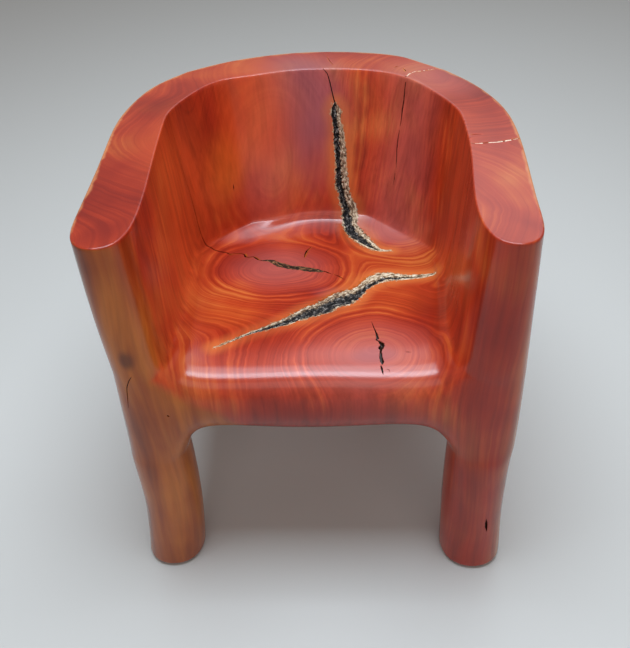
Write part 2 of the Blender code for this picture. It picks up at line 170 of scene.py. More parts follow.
# Round front of each arm
front_y = -HALF_DEPTH + NOSE_SETBACK
for outer, inner, side in ((0, 1, -1), (COLUMNS, COLUMNS - 1, 1)):
    rim_plan[outer, 0] = Vector((rim_plan[outer, 1].x - side * NOSE_INSET, front_y))
    rim_plan[inner, 0] = Vector((rim_plan[inner, 1].x + side * NOSE_INSET, front_y))
    way_out[outer, 0] = way_out[outer, 1]
    way_out[inner, 0] = way_out[inner, 1]
    lean[inner, 0] = ARM_LEAN

# Legs: the centres and radii of each at the foot, the middle and the top
plumb = Vector((0, 0))
left_bend = Vector((LEFT_LEG_BEND, 0))
right_bend = Vector((-RIGHT_LEG_BEND, 0))
left_waist = LEFT_LEG_RADIUS - LEFT_LEG_WAIST
right_waist = RIGHT_LEG_RADIUS - RIGHT_LEG_WAIST
left_radii = (LEFT_LEG_RADIUS, left_waist, left_waist)
right_radii = (RIGHT_LEG_RADIUS, right_waist, right_waist)
back_radii = (BACK_LEG_RADIUS, BACK_LEG_RADIUS, BACK_LEG_RADIUS + BACK_LEG_FLARE)
inwards = Vector((1, -1)).normalized() * BACK_LEG_FLARE
left_foot = (LEFT_LEG_FROM_SIDE - HALF_WIDTH, LEFT_LEG_FROM_FRONT - HALF_DEPTH)
right_foot = (HALF_WIDTH - RIGHT_LEG_FROM_SIDE, RIGHT_LEG_FROM_FRONT - HALF_DEPTH)
back_foot_x = HALF_WIDTH - BACK_LEG_FROM_SIDE
back_foot_y = HALF_DEPTH - BACK_LEG_FROM_REAR
legs = {}
for column, row, foot, shifts, radii in (
    (0, 0, left_foot, (plumb, left_bend, left_bend * LEG_TOP_BEND_SHARE), left_radii),
    (1, 0, right_foot, (plumb, right_bend, right_bend * LEG_TOP_BEND_SHARE), right_radii),
    (0, 1, (-back_foot_x, back_foot_y), (plumb, plumb, inwards), back_radii),
    (1, 1, (back_foot_x, back_foot_y), (plumb, plumb, inwards * Vector((-1, 1))), back_radii),
):
    centres = [Vector(foot) + shift for shift in shifts]
    for right in (0, 1):
        for behind in (0, 1):
            corner = Vector((2 * right - 1, 2 * behind - 1)).normalized() * CORNER_SHARE
            place = (column * (COLUMNS - 1) + right, row * (ROWS - 1) + behind)
            legs[place] = (centres, corner, radii)


def wall_plan(place, z):
    """Place on the wall at this height: its inside and the left side come in, the right side swells."""
    drop = (HEIGHT - z) / (HEIGHT - SEAT_MIDDLE_Z)
    if place in lean:
        return rim_plan[place] - way_out[place] * lean[place] * drop
    if place[0] == 0:
        inwards = min((HEIGHT - z) / (HEIGHT - underside_z), 1)
        inwards *= inwards * (3 - 2 * inwards) * LEFT_TAPER * TAPER_SHARES[place[1]]
        return rim_plan[place] - way_out[place] * inwards
    if place[0] == COLUMNS:
        return rim_plan[place] + way_out[place] * RIGHT_SWELL * SWELL_SHARES[place[1]] * min(drop, 1)
    return rim_plan[place]


def slab_plan(column, row):
    """Place on the slab, seen from above."""
    if (column, row) in rim_plan:
        return wall_plan((column, row), SEAT_REAR_Z + SEAT_FILLET)
    if row == ROWS - 2:
        behind = {2: (1, ROWS - 1), COLUMNS - 2: (COLUMNS - 1, ROWS - 1)}.get(column, (column, ROWS - 1))
        return slab_plan(*behind) - way_out[behind] * SEAT_FILLET
    near = slab_plan(1, max(row, 1)) + Vector((SEAT_FILLET, 0))
    far = slab_plan(COLUMNS - 1, max(row, 1)) - Vector((SEAT_FILLET, 0))
    point = near.lerp(far, (column - 2) / (COLUMNS - 4))
    if row == 0:
        point.y = -HALF_DEPTH + EDGE_SETBACK
    return point


def grid_place(height, column, row):
    """Where the carved surface passes at this point of the grid."""
    place = (column, row)
    on_rim = (place in rim_plan) and (place not in lean)
    if height <= LEG_TOP:
        centres, corner, radii = legs[place]
        z = (foot_z, LEG_MIDDLE_Z, LEG_TOP_Z)[height]
        return (centres[height] + corner * radii[height]).to_3d() + Vector((0, 0, z))
    if height == UNDERSIDE:
        point = wall_plan(place, underside_z) if on_rim else slab_plan(column, row)
        z = underside_z
        if place in legs:
            z -= ARCH_SPRING
            centres, corner, radii = legs[place]
            if place in lean:
                flare = FRONT_ARCH_FLARE if row < 2 else BACK_ARCH_FLARE
                point = centres[LEG_TOP] + corner * (radii[LEG_MIDDLE] + flare)
                point.y = max(point.y, front_y)
            else:
                point = point.lerp(centres[LEG_TOP] + corner * radii[LEG_TOP], SPRING_SHARE)
        elif on_rim:
            point = point - way_out[place] * UNDER_BEND
            z += UNDER_RISE
        elif row == 0:
            z += EDGE_BEND
        return point.to_3d() + Vector((0, 0, z))
    if height == SEAT:
        point = slab_plan(column, row)
        z = seat_z[row]
        if place in lean:
            bend = SEAT_FILLET * (1 - math.cos(math.pi / 4))
            point = point - way_out[place] * bend
            z += bend
        return point.to_3d() + Vector((0, 0, z))
    z = {FILLET: seat_z[row] + SEAT_FILLET, WALL_MIDDLE: wall_middle_z, RIM: HEIGHT}[height]
    return wall_plan(place, z).to_3d() + Vector((0, 0, z))


def is_wall(face):
    """Whether this face of the grid lies under an arm or the back."""
    columns = {vert[marks["column"]] for vert in face.verts}
    rows = {vert[marks["row"]] for vert in face.verts}
    return 0 in columns or COLUMNS in columns or ROWS in rows


def is_leg(face):
    """Whether this face of the grid lies over a leg."""
    columns = {vert[marks["column"]] for vert in face.verts}
    rows = {vert[marks["row"]] for vert in face.verts}
    return (0 in columns or COLUMNS in columns) and (0 in rows or ROWS in rows)


def carry(faces, height):
    """Extrude these faces of the grid to this height."""
    region = dict.fromkeys(faces)
    for face in faces:
        region.update(dict.fromkeys([*face.edges, *face.verts]))
    grown = bmesh.ops.extrude_face_region(cage_mesh, geom=list(region))["geom"]
    for vert in grown:
        if isinstance(vert, bmesh.types.BMVert):
            vert[marks["height"]] = height
            vert.co = grid_place(height, vert[marks["column"]], vert[marks["row"]])
    return [face for face in grown if isinstance(face, bmesh.types.BMFace)]


def rank(item):
    """Number that puts the edges or the faces of a mesh in the same order in each run."""
    number = 0
    for index in sorted(vert.index for vert in item.verts)[:3]:
        number = number * MANY + index
    return number


def in_order(mesh):
    """Give the edges and the faces of a mesh the order of their vertices."""
    mesh.verts.index_update()
    mesh.edges.sort(key=rank)
    mesh.faces.sort(key=rank)


# The grid at the underside, carried up to the seat and the rim and down to the feet
cage_mesh = bmesh.new()
marks = {name: cage_mesh.verts.layers.int.new(name) for name in ("column", "row", "height")}
bmesh.ops.create_grid(cage_mesh, x_segments=COLUMNS, y_segments=ROWS, size=HALF_WIDTH)
for vert in cage_mesh.verts:
    vert[marks["column"]] = round((vert.co.x / HALF_WIDTH + 1) / 2 * COLUMNS)
    vert[marks["row"]] = round((vert.co.y / HALF_WIDTH + 1) / 2 * ROWS)
    vert[marks["height"]] = UNDERSIDE
    vert.co = grid_place(UNDERSIDE, vert[marks["column"]], vert[marks["row"]])
under = list(cage_mesh.faces)
top = [face for face in carry(under, SEAT) if is_wall(face)]
for height in (FILLET, WALL_MIDDLE, RIM):
    top = carry(top, height)
bottom = [face for face in under if is_leg(face)]
for height in (LEG_TOP, LEG_MIDDLE, FOOT):
    bottom = carry(bottom, height)
in_order(cage_mesh)
bmesh.ops.recalc_face_normals(cage_mesh, faces=cage_mesh.faces)
crease = cage_mesh.edges.layers.float.new("crease_edge")
for edge in cage_mesh.edges:
    flat = [{vert[marks["height"]] for vert in face.verts} in ({RIM}, {FOOT}) for face in edge.link_faces]
    edge[crease] = float(flat.count(True) == 1)
cage_data = bpy.data.meshes.new("cage")
cage_mesh.to_mesh(cage_data)
cage_mesh.free()
cage = bpy.data.objects.new("cage", cage_data)
bpy.context.collection.objects.link(cage)
smooth = cage.modifiers.new("smooth", "SUBSURF")
smooth.levels = CAGE_LEVELS
smooth.render_levels = CAGE_LEVELS

# The smoothed surface shrinks inside its cage, so the cage grows until the surface passes through each place
places = [vertex.co.copy() for vertex in cage_data.vertices]
rows = [mark.value for mark in cage_data.attributes["row"].data]
heights = [mark.value for mark in cage_data.attributes["height"].data]
pulls = [
    SOFT_PULLS if row > 1 and height in (LEG_TOP, UNDERSIDE) else PULLS
    for row, height in zip(rows, heights)
]
for turn in range(PULLS):
    graph = bpy.context.evaluated_depsgraph_get()
    surface = cage.evaluated_get(graph).data
    offs = [place - surface.vertices[number].co for number, place in enumerate(places)]
    for vertex, off, limit in zip(cage_data.vertices, offs, pulls):
        if turn < limit:
            vertex.co += off
    cage_data.update()
smooth.levels = WOOD_LEVELS
smooth.render_levels = WOOD_LEVELS
graph = bpy.context.evaluated_depsgraph_get()
wood_mesh = bpy.data.meshes.new_from_object(cage.evaluated_get(graph))
wood_mesh.name = "trunk_wood"
bpy.data.objects.remove(cage)


def is_flat(face, level):
    """Whether this face of the trunk is level and lies at this height."""
    return abs(face.normal.z) > FLAT_SHARE and abs(face.calc_center_median().z - level) < FIT_GAP


# Rounded foot and rim edges, then the middle of the log over the origin as in the solids
carved = bmesh.new()
carved.from_mesh(wood_mesh)
spans = [[vert.co[axis] for vert in carved.verts] for axis in (0, 1)]
middle = Vector([(min(span) + max(span)) / 2 for span in spans]).to_3d()
for level, offset in ((foot_z, FOOT_ROUND), (HEIGHT, RIM_ROUND)):
    corners = []
    for edge in carved.edges:
        if [is_flat(face, level) for face in edge.link_faces].count(True) == 1:
            corners.append(edge)
    bmesh.ops.bevel(
        carved,
        geom=corners,
        offset=offset,
        segments=ROUND_SEGMENTS,
        profile=0.5,
        affect="EDGES",
        material=-1,
    )
bmesh.ops.translate(carved, verts=carved.verts, vec=-middle)
carved.verts.sort(key=lambda vert: sum(part * slant for part, slant in zip(vert.co, SLANT)))
in_order(carved)
carved.to_mesh(wood_mesh)
carved.free()

# Slow waves left by hand sanding, away from the flat rim and feet
WAVE = 0.0007
WAVE_SIZE = 0.10
FLAT_BAND = 0.015
normals = [vertex.normal.copy() for vertex in wood_mesh.vertices]
for vertex, normal in zip(wood_mesh.vertices, normals):
    keep = min(1.0, (HEIGHT - vertex.co.z) / FLAT_BAND, (vertex.co.z - foot_z) / FLAT_BAND)
    vertex.co += normal * WAVE * max(keep, 0.0) * noise.noise(vertex.co / WAVE_SIZE)
wood_mesh.update()
uncut = BVHTree.FromPolygons(
    [vertex.co for vertex in wood_mesh.vertices],
    [face.vertices for face in wood_mesh.polygons],
)
wood = bpy.data.objects.new("trunk_wood", wood_mesh)
bpy.context.collection.objects.link(wood)

# Splits in the trunk
# The log checked as it dried, and bark was trapped where its stems grew together. Each split is a
# wedge with ragged lips, cut along a drawn line: place, half width, and in a seam its dark share.

SEAT_SEAM = [
    (-0.158, -0.234, 0.442, 0.0006, 0.0),
    (-0.135, -0.218, 0.439, 0.0016, 0.1),
    (-0.118, -0.204, 0.438, 0.0024, 0.3),
    (-0.101, -0.192, 0.436, 0.0030, 0.7),
    (-0.086, -0.184, 0.435, 0.0048, 1.0),
    (-0.053, -0.165, 0.433, 0.0088, 1.0),
    (-0.037, -0.154, 0.432, 0.0112, 1.0),
    (-0.021, -0.142, 0.430, 0.0148, 1.0),
    (-0.004, -0.131, 0.429, 0.0170, 1.0),
    (0.013, -0.121, 0.427, 0.0180, 1.0),
    (0.026, -0.108, 0.425, 0.0182, 1.0),
    (0.037, -0.099, 0.424, 0.0205, 1.0),
    (0.050, -0.091, 0.423, 0.0212, 1.0),
    (0.060, -0.082, 0.422, 0.0175, 1.0),
    (0.070, -0.072, 0.420, 0.0120, 1.0),
    (0.079, -0.060, 0.419, 0.0095, 0.9),
    (0.088, -0.046, 0.417, 0.0112, 0.6),
    (0.100, -0.035, 0.416, 0.0138, 0.4),
    (0.112, -0.027, 0.415, 0.0150, 0.35),
    (0.123, -0.024, 0.415, 0.0138, 0.35),
    (0.139, -0.025, 0.415, 0.0115, 0.45),
    (0.154, -0.026, 0.415, 0.0078, 0.35),
    (0.171, -0.026, 0.415, 0.0066, 0.1),
    (0.188, -0.024, 0.416, 0.0058, 0.1),
    (0.202, -0.024, 0.419, 0.0040, 0.0),
    (0.210, -0.027, 0.426, 0.0014, 0.0),
]
BACK_SEAM = [
    (0.034, 0.230, 0.637, 0.0020, 0.6),
    (0.035, 0.228, 0.627, 0.0078, 0.7),
    (0.035, 0.226, 0.619, 0.0108, 0.7),
    (0.036, 0.225, 0.612, 0.0096, 0.8),
    (0.036, 0.223, 0.604, 0.0074, 0.9),
    (0.038, 0.221, 0.593, 0.0086, 0.9),
    (0.041, 0.218, 0.579, 0.0100, 0.8),
    (0.041, 0.215, 0.565, 0.0106, 0.7),
    (0.043, 0.211, 0.546, 0.0116, 0.6),
    (0.043, 0.208, 0.530, 0.0116, 0.6),
    (0.043, 0.205, 0.512, 0.0092, 0.7),
    (0.044, 0.202, 0.498, 0.0112, 0.6),
    (0.045, 0.199, 0.485, 0.0138, 0.6),
    (0.046, 0.195, 0.470, 0.0126, 0.7),
    (0.049, 0.192, 0.456, 0.0112, 0.7),
    (0.053, 0.188, 0.442, 0.0136, 0.6),
    (0.059, 0.183, 0.429, 0.0158, 0.6),
    (0.060, 0.173, 0.414, 0.0160, 0.7),
    (0.060, 0.159, 0.406, 0.0150, 0.9),
    (0.066, 0.144, 0.402, 0.0150, 1.0),
    (0.073, 0.128, 0.402, 0.0158, 1.0),
    (0.084, 0.112, 0.402, 0.0152, 0.9),
    (0.093, 0.096, 0.403, 0.0128, 0.8),
    (0.105, 0.081, 0.404, 0.0090, 0.3),
    (0.117, 0.072, 0.405, 0.0046, 0.0),
    (0.137, 0.069, 0.405, 0.0008, 0.0),
]
SIDE_SEAM = [
    (-0.105, 0.035, 0.410, 0.0016, 0.3),
    (-0.097, 0.037, 0.410, 0.0028, 0.4),
    (-0.086, 0.033, 0.410, 0.0052, 0.5),
    (-0.072, 0.020, 0.412, 0.0072, 0.5),
    (-0.052, 0.010, 0.414, 0.0062, 0.5),
    (-0.034, 0.006, 0.414, 0.0064, 0.5),
    (-0.017, 0.001, 0.415, 0.0074, 0.5),
    (-0.002, -0.003, 0.415, 0.0056, 0.4),
    (0.009, -0.007, 0.415, 0.0026, 0.3),
]
BACK_TOP_SPLIT = [
    (0.015, 0.243, 0.698, 0.0006),
    (0.021, 0.242, 0.690, 0.0008),
    (0.025, 0.239, 0.676, 0.0010),
    (0.029, 0.235, 0.657, 0.0010),
    (0.035, 0.230, 0.632, 0.0014),
]
RIM_SPLIT = [
    (0.019, 0.306, 0.700, 0.0003),
    (0.025, 0.281, 0.700, 0.0006),
    (0.032, 0.261, 0.700, 0.0004),
]
BACK_CHECKS = [
    [
        (0.164, 0.195, 0.692, 0.0008),
        (0.162, 0.192, 0.677, 0.0013),
        (0.161, 0.188, 0.659, 0.0014),
        (0.158, 0.185, 0.641, 0.0015),
        (0.157, 0.182, 0.626, 0.0012),
        (0.155, 0.180, 0.611, 0.0006),
    ],
    [
        (0.153, 0.178, 0.603, 0.0006),
        (0.151, 0.176, 0.584, 0.0011),
        (0.149, 0.172, 0.565, 0.0013),
        (0.149, 0.168, 0.546, 0.0011),
        (0.148, 0.164, 0.530, 0.0005),
    ],
    [(0.147, 0.163, 0.520, 0.0005), (0.145, 0.161, 0.508, 0.0009), (0.144, 0.159, 0.496, 0.0003)],
]
ARM_SPLIT = [
    (0.249, -0.060, 0.700, 0.0005),
    (0.260, -0.060, 0.700, 0.0010),
    (0.274, -0.058, 0.700, 0.0010),
    (0.285, -0.057, 0.700, 0.0010),
    (0.293, -0.055, 0.700, 0.0015),
    (0.303, -0.052, 0.700, 0.0015),
    (0.312, -0.049, 0.700, 0.0007),
    (0.319, -0.046, 0.700, 0.0008),
]
RIM_BACK_SPLIT = [
    (0.165, 0.202, 0.700, 0.0009),
    (0.171, 0.212, 0.700, 0.0010),
    (0.176, 0.217, 0.700, 0.0008),
    (0.184, 0.224, 0.700, 0.0006),
    (0.194, 0.224, 0.700, 0.0007),
    (0.204, 0.229, 0.700, 0.0007),
    (0.220, 0.233, 0.700, 0.0004),
]
LEFT_WALL_SPLIT = [
    (-0.237, 0.072, 0.626, 0.0003),
    (-0.236, 0.063, 0.601, 0.0004),
    (-0.234, 0.064, 0.574, 0.0005),
    (-0.230, 0.068, 0.546, 0.0006),
    (-0.228, 0.069, 0.524, 0.0007),
    (-0.225, 0.069, 0.496, 0.0007),
    (-0.222, 0.068, 0.468, 0.0008),
    (-0.218, 0.069, 0.442, 0.0009),
    (-0.213, 0.071, 0.422, 0.0012),
    (-0.206, 0.070, 0.418, 0.0014),
    (-0.197, 0.065, 0.415, 0.0013),
    (-0.188, 0.064, 0.411, 0.0012),
    (-0.176, 0.065, 0.409, 0.0014),
    (-0.172, 0.063, 0.408, 0.0016),
    (-0.166, 0.058, 0.408, 0.0004),
]
RIGHT_WALL_CHECK = [
    (0.216, -0.038, 0.435, 0.0004),
    (0.221, -0.036, 0.442, 0.0009),
    (0.224, -0.030, 0.451, 0.0010),
    (0.227, -0.029, 0.464, 0.0008),
    (0.230, -0.033, 0.490, 0.0008),
    (0.232, -0.040, 0.522, 0.0007),
    (0.234, -0.056, 0.576, 0.0003),
]
SEAT_CHECKS = [
    [
        (-0.164, 0.063, 0.407, 0.0005),
        (-0.155, 0.064, 0.406, 0.0011),
        (-0.148, 0.065, 0.406, 0.0014),
        (-0.141, 0.061, 0.406, 0.0014),
        (-0.138, 0.052, 0.408, 0.0017),
        (-0.132, 0.050, 0.408, 0.0015),
        (-0.123, 0.052, 0.407, 0.0013),
        (-0.117, 0.045, 0.408, 0.0019),
        (-0.112, 0.039, 0.409, 0.0010),
        (-0.103, 0.036, 0.410, 0.0016),
    ],
    [
        (0.007, -0.005, 0.415, 0.0018),
        (0.013, -0.006, 0.415, 0.0014),
        (0.018, -0.010, 0.415, 0.0015),
        (0.025, -0.015, 0.416, 0.0005),
    ],
    [(0.030, -0.017, 0.416, 0.0005), (0.038, -0.022, 0.416, 0.0013), (0.049, -0.034, 0.417, 0.0003)],
    [
        (-0.015, 0.082, 0.407, 0.0004),
        (-0.022, 0.071, 0.408, 0.0011),
        (-0.025, 0.062, 0.409, 0.0013),
        (-0.027, 0.043, 0.411, 0.0003),
    ],
    [(-0.024, 0.069, 0.408, 0.0008), (-0.022, 0.060, 0.409, 0.0004)],
    [
        (0.091, -0.164, 0.432, 0.0003),
        (0.095, -0.186, 0.435, 0.0009),
        (0.098, -0.200, 0.437, 0.0016),
        (0.099, -0.211, 0.439, 0.0024),
        (0.097, -0.216, 0.440, 0.0018),
        (0.101, -0.220, 0.440, 0.0018),
        (0.105, -0.226, 0.441, 0.0040),
        (0.105, -0.233, 0.442, 0.0036),
        (0.103, -0.241, 0.442, 0.0022),
        (0.102, -0.247, 0.443, 0.0018),
        (0.102, -0.261, 0.443, 0.0029),
        (0.103, -0.269, 0.443, 0.0031),
        (0.103, -0.275, 0.443, 0.0008),
    ],
    [(0.102, -0.231, 0.441, 0.0008), (0.100, -0.238, 0.442, 0.0016), (0.102, -0.244, 0.443, 0.0006)],
    [
        (0.101, -0.277, 0.443, 0.0008),
        (0.102, -0.282, 0.442, 0.0020),
        (0.103, -0.288, 0.440, 0.0012),
        (0.104, -0.292, 0.439, 0.0003),
    ],
    [(0.139, -0.248, 0.443, 0.0003), (0.143, -0.248, 0.443, 0.0008), (0.148, -0.249, 0.443, 0.0003)],
    [(0.109, -0.283, 0.441, 0.0004), (0.113, -0.284, 0.441, 0.0006), (0.113, -0.287, 0.440, 0.0004)],
]
SMALL_PITS = [
    [(0.146, 0.244, 0.700, 0.0005), (0.150, 0.248, 0.700, 0.0014), (0.153, 0.249, 0.700, 0.0004)],
    [(0.162, 0.240, 0.700, 0.0004), (0.165, 0.231, 0.700, 0.0008), (0.166, 0.223, 0.700, 0.0003)],
    [(0.239, 0.018, 0.700, 0.0028), (0.243, 0.018, 0.700, 0.0020), (0.247, 0.017, 0.700, 0.0004)],
    [(0.249, -0.030, 0.700, 0.0003), (0.255, -0.030, 0.700, 0.0009), (0.265, -0.031, 0.700, 0.0003)],
    [(0.240, -0.041, 0.700, 0.0009), (0.243, -0.041, 0.700, 0.0008), (0.248, -0.043, 0.700, 0.0003)],
    [
        (-0.260, -0.326, 0.473, 0.0003),
        (-0.266, -0.326, 0.463, 0.0006),
        (-0.272, -0.325, 0.448, 0.0008),
        (-0.275, -0.324, 0.428, 0.0007),
        (-0.279, -0.324, 0.402, 0.0003),
    ],
    [(-0.221, -0.324, 0.388, 0.0006), (-0.219, -0.324, 0.385, 0.0016), (-0.218, -0.324, 0.384, 0.0006)],
    [
        (0.279, -0.327, 0.138, 0.0005),
        (0.280, -0.326, 0.126, 0.0024),
        (0.281, -0.326, 0.117, 0.0026),
        (0.283, -0.325, 0.103, 0.0005),
    ],
    [(-0.164, 0.158, 0.504, 0.0004), (-0.164, 0.157, 0.497, 0.0012), (-0.164, 0.155, 0.492, 0.0004)],
]
STEP = 0.002
FINE_STEP = 0.0015
RAGGED_SHARE = 0.24
RAGGED_SIZE = 0.005
FRAYED_SHARE = 0.14
FRAYED_SIZE = 0.0021
LEFT_LIP_SHIFT = Vector((7, 0, 0))
RIGHT_LIP_SHIFT = Vector((0, 0, 0))
ABOVE = 0.004
FLOOR_SHARE = 0.35
NARROW_DEPTH_SHARE = 0.4
SPLIT_LENGTHEN = 0.004
SEAM_DEPTH = 0.016
SIDE_SEAM_DEPTH = 0.010
BACK_TOP_DEPTH = 0.009
RIM_DEPTH = 0.003
FILLED_DEPTH = 0.004
LEFT_WALL_DEPTH = 0.006
CHECK_DEPTH = 0.007
SHARP_ANGLE = math.radians(38)


def lay_out(points, step=STEP):
    """Stations on the wood along a drawn line: place, way out, way across, half width, dark share."""
    drawn = np.array(points)
    gone = np.concatenate([[0], np.cumsum(np.linalg.norm(np.diff(drawn[:, :3], axis=0), axis=1))])
    stops = np.linspace(0, gone[-1], max(3, round(gone[-1] / step)))
    values = np.array([np.interp(stops, gone, drawn[:, part]) for part in range(drawn.shape[1])]).T
    found = [uncut.find_nearest(Vector(value[:3]))[:2] for value in values]
    stations = []
    for number, (value, (place, out)) in enumerate(zip(values, found)):
        before = found[max(number - 2, 0)][0]
        after = found[min(number + 2, len(found) - 1)][0]
        across = (after - before).cross(out).normalized()
        stations.append((place, out, across, value[3], value[4] if len(value) > 4 else 0.0))
    return stations


def run_past(stations, at_start, at_end):
    """The same stations run on straight past an edge of the wood at either end."""
    if at_start:
        along = (stations[0][0] - stations[1][0]).normalized() * SPLIT_LENGTHEN
        stations = [(stations[0][0] + along, *stations[0][1:])] + stations
    if at_end:
        along = (stations[-1][0] - stations[-2][0]).normalized() * SPLIT_LENGTHEN
        stations = stations + [(stations[-1][0] + along, *stations[-1][1:])]
    return stations


def lips(place, half):
    """How far the two ragged lips of a split lie from its line here: left, then right."""
    widths = []
    for shift in (LEFT_LIP_SHIFT, RIGHT_LIP_SHIFT):
        ragged = RAGGED_SHARE * noise.noise(place / RAGGED_SIZE + shift)
        frayed = FRAYED_SHARE * noise.noise(place / FRAYED_SIZE + shift)
        widths.append(half * (1 + ragged + frayed))
    return widths


def cut_split(name, stations, depth):
    """Cut a wedge out of the trunk along the stations."""
    widest = max(half for _, _, _, half, _ in stations)
    wedge = bmesh.new()
    face = None
    for place, out, across, half, _ in stations:
        low = -out * depth * (NARROW_DEPTH_SHARE + (1 - NARROW_DEPTH_SHARE) * half / widest)
        left_width, right_width = lips(place, half)
        right = across * right_width
        left = -across * left_width
        section = [
            place + right + out * ABOVE,
            place + left + out * ABOVE,
            place + left,
            place + left * FLOOR_SHARE + low,
            place + right * FLOOR_SHARE + low,
            place + right,
        ]
        if face is None:
            face = wedge.faces.new([wedge.verts.new(corner) for corner in section])
            continue
        grown = bmesh.ops.extrude_face_region(wedge, geom=[face, *face.edges, *face.verts])["geom"]
        face = next(item for item in grown if isinstance(item, bmesh.types.BMFace))
        for vert, corner in zip(face.verts, section):
            vert.co = corner
    bmesh.ops.recalc_face_normals(wedge, faces=wedge.faces)
    bmesh.ops.triangulate(wedge, faces=wedge.faces)
    data = bpy.data.meshes.new(name)
    wedge.to_mesh(data)
    wedge.free()
    guide = bpy.data.objects.new(name, data)
    bpy.context.collection.objects.link(guide)
    cut = wood.modifiers.new(name, "BOOLEAN")
    cut.operation = "DIFFERENCE"
    cut.solver = "MANIFOLD"
    cut.object = guide
    return guide


seat_stations = lay_out(SEAT_SEAM)
back_stations = lay_out(BACK_SEAM)
side_stations = lay_out(SIDE_SEAM)
arm_stations = lay_out(ARM_SPLIT, FINE_STEP)
rim_stations = lay_out(RIM_BACK_SPLIT, FINE_STEP)
guides = [
    cut_split("seat_seam_guide", seat_stations, SEAM_DEPTH),
    cut_split("back_seam_guide", back_stations, SEAM_DEPTH),
    cut_split("side_seam_guide", side_stations, SIDE_SEAM_DEPTH),
    cut_split("back_top_guide", run_past(lay_out(BACK_TOP_SPLIT), True, False), BACK_TOP_DEPTH),
    cut_split("rim_split_guide", lay_out(RIM_SPLIT), RIM_DEPTH),
    cut_split("arm_split_guide", run_past(arm_stations, True, True), FILLED_DEPTH),
    cut_split("rim_back_guide", run_past(rim_stations, True, False), FILLED_DEPTH),
    cut_split("left_wall_guide", lay_out(LEFT_WALL_SPLIT), LEFT_WALL_DEPTH),
]
for number, points in enumerate(BACK_CHECKS + [RIGHT_WALL_CHECK] + SEAT_CHECKS + SMALL_PITS):
    guides.append(cut_split(f"check_{number}_guide", lay_out(points, FINE_STEP), CHECK_DEPTH))
graph = bpy.context.evaluated_depsgraph_get()
split_mesh = bpy.data.meshes.new_from_object(wood.evaluated_get(graph))
wood.modifiers.clear()
wood.data = split_mesh
bpy.data.meshes.remove(wood_mesh)
for guide in guides:
    bpy.data.objects.remove(guide)
split_mesh.name = "trunk_wood"
split_mesh.shade_smooth()
split_mesh.set_sharp_from_angle(angle=SHARP_ANGLE)

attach(wood, "root")
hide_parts("trunk")

# Grain and varnish
# Growth rings round the hearts of three stems, red heartwood with an orange glow along the bark,
# a tan shell of sapwood outside, all under a gloss varnish. Painted into the colour as well: painted
# shade by facing, on the fronts, the apron, the left rim and deep in the splits, a painted highlight
# along the seat's front edge, a painted sheen on the hearts and painted light on the inner walls.

FAR = 0.2
CHUNK = 4000


def how_far(places, targets, widths):
    """For each place, the least distance from the targets, less each target's width."""
    nearest = np.full(len(places), FAR)
    for start in range(0, len(places), CHUNK):
        part = places[start : start + CHUNK]
        gaps = np.linalg.norm(part[:, None] - targets[None], axis=2) - widths[None]
        nearest[start : start + CHUNK] = np.minimum(gaps.min(axis=1), FAR)
    return nearest


def record(mesh, name, values):
    """Write one value for each vertex into the mesh."""
    kept = mesh.attributes.new(name, "FLOAT", "POINT")
    kept.data.foreach_set("value", np.asarray(values, dtype=np.float32))


places = np.empty(len(split_mesh.vertices) * 3)
split_mesh.vertices.foreach_get("co", places)
places = places.reshape(-1, 3)
seams = seat_stations + back_stations
seam_places = np.array([station[0] for station in seams])
seam_halves = np.array([station[3] for station in seams])
seam_gap = how_far(places, seam_places, seam_halves)
record(split_mesh, "seam_gap", np.maximum(seam_gap, 0))
below = [uncut.find_nearest(vertex.co)[3] for vertex in split_mesh.vertices]
record(split_mesh, "below", below)

# How far each place lies inside the bark side of the log, measured from a fine copy of its outline
SHELL_STEPS = 24
SHELL_FRONT = -0.42
line = [Vector((outline[0].x, SHELL_FRONT))] + outline + [Vector((outline[-1].x, SHELL_FRONT))]
shell = []
for number in range(1, len(line) - 2):
    for part in range(SHELL_STEPS):
        t = part / SHELL_STEPS
        before, start, end, after = line[number - 1 : number + 3]
        curve = start * 2 + (end - before) * t + (before * 2 - start * 5 + end * 4 - after) * t * t
        curve += (start * 3 - before - end * 3 + after) * t * t * t
        shell.append(curve / 2)
for side in (0, -1):
    for part in range(SHELL_STEPS):
        shell.append(line[1 if side == 0 else -2].lerp(line[side], part / SHELL_STEPS))
shell = np.array([point - middle.to_2d() for point in shell])
record(split_mesh, "shell_gap", how_far(places[:, :2], shell, np.zeros(len(shell))))

# How level each place is, and how far it lies inside the tan sapwood: along the red wood's edge
# down the front of the left arm, down the right arm, and over all of the outside behind them
RED_EDGE = [(0.30, -0.05), (0.36, -0.12), (0.40, -0.165), (0.44, -0.205), (0.46, -0.218), (0.70, -0.233)]
RIGHT_RED_EDGE = 0.298
FRONT_END = -0.20
FRONT_FADE = 0.05
NOSE_END = -0.285
NOSE_FADE = 0.03
TURNED = 0.06
APART = 0.10
AROUND_INSIDE = 0.02
AROUND_REACH = 0.05
OUTWARDS_FROM = 0.1
OUTWARDS_FADE = 0.3
normals = np.empty(len(split_mesh.vertices) * 3)
split_mesh.vertices.foreach_get("normal", normals)
normals = normals.reshape(-1, 3)
upwards = np.clip(normals[:, 2], 0, 1)
record(split_mesh, "level", np.abs(normals[:, 2]))
edge_x = np.interp(places[:, 2], [z for z, _ in RED_EDGE], [x for _, x in RED_EDGE])
behind = np.clip((places[:, 1] - FRONT_END) / FRONT_FADE, 0, 1)
turned = TURNED * np.clip(normals[:, 0], 0, 1) * np.clip((places[:, 1] - NOSE_END) / NOSE_FADE, 0, 1)
left_gap = places[:, 0] - edge_x + turned + APART * (upwards + behind)
right_gap = RIGHT_RED_EDGE - places[:, 0] + TURNED * np.clip(-normals[:, 0], 0, 1) + APART * upwards
outwards = (places[:, :2] * normals[:, :2]).sum(axis=1) / np.linalg.norm(places[:, :2], axis=1)
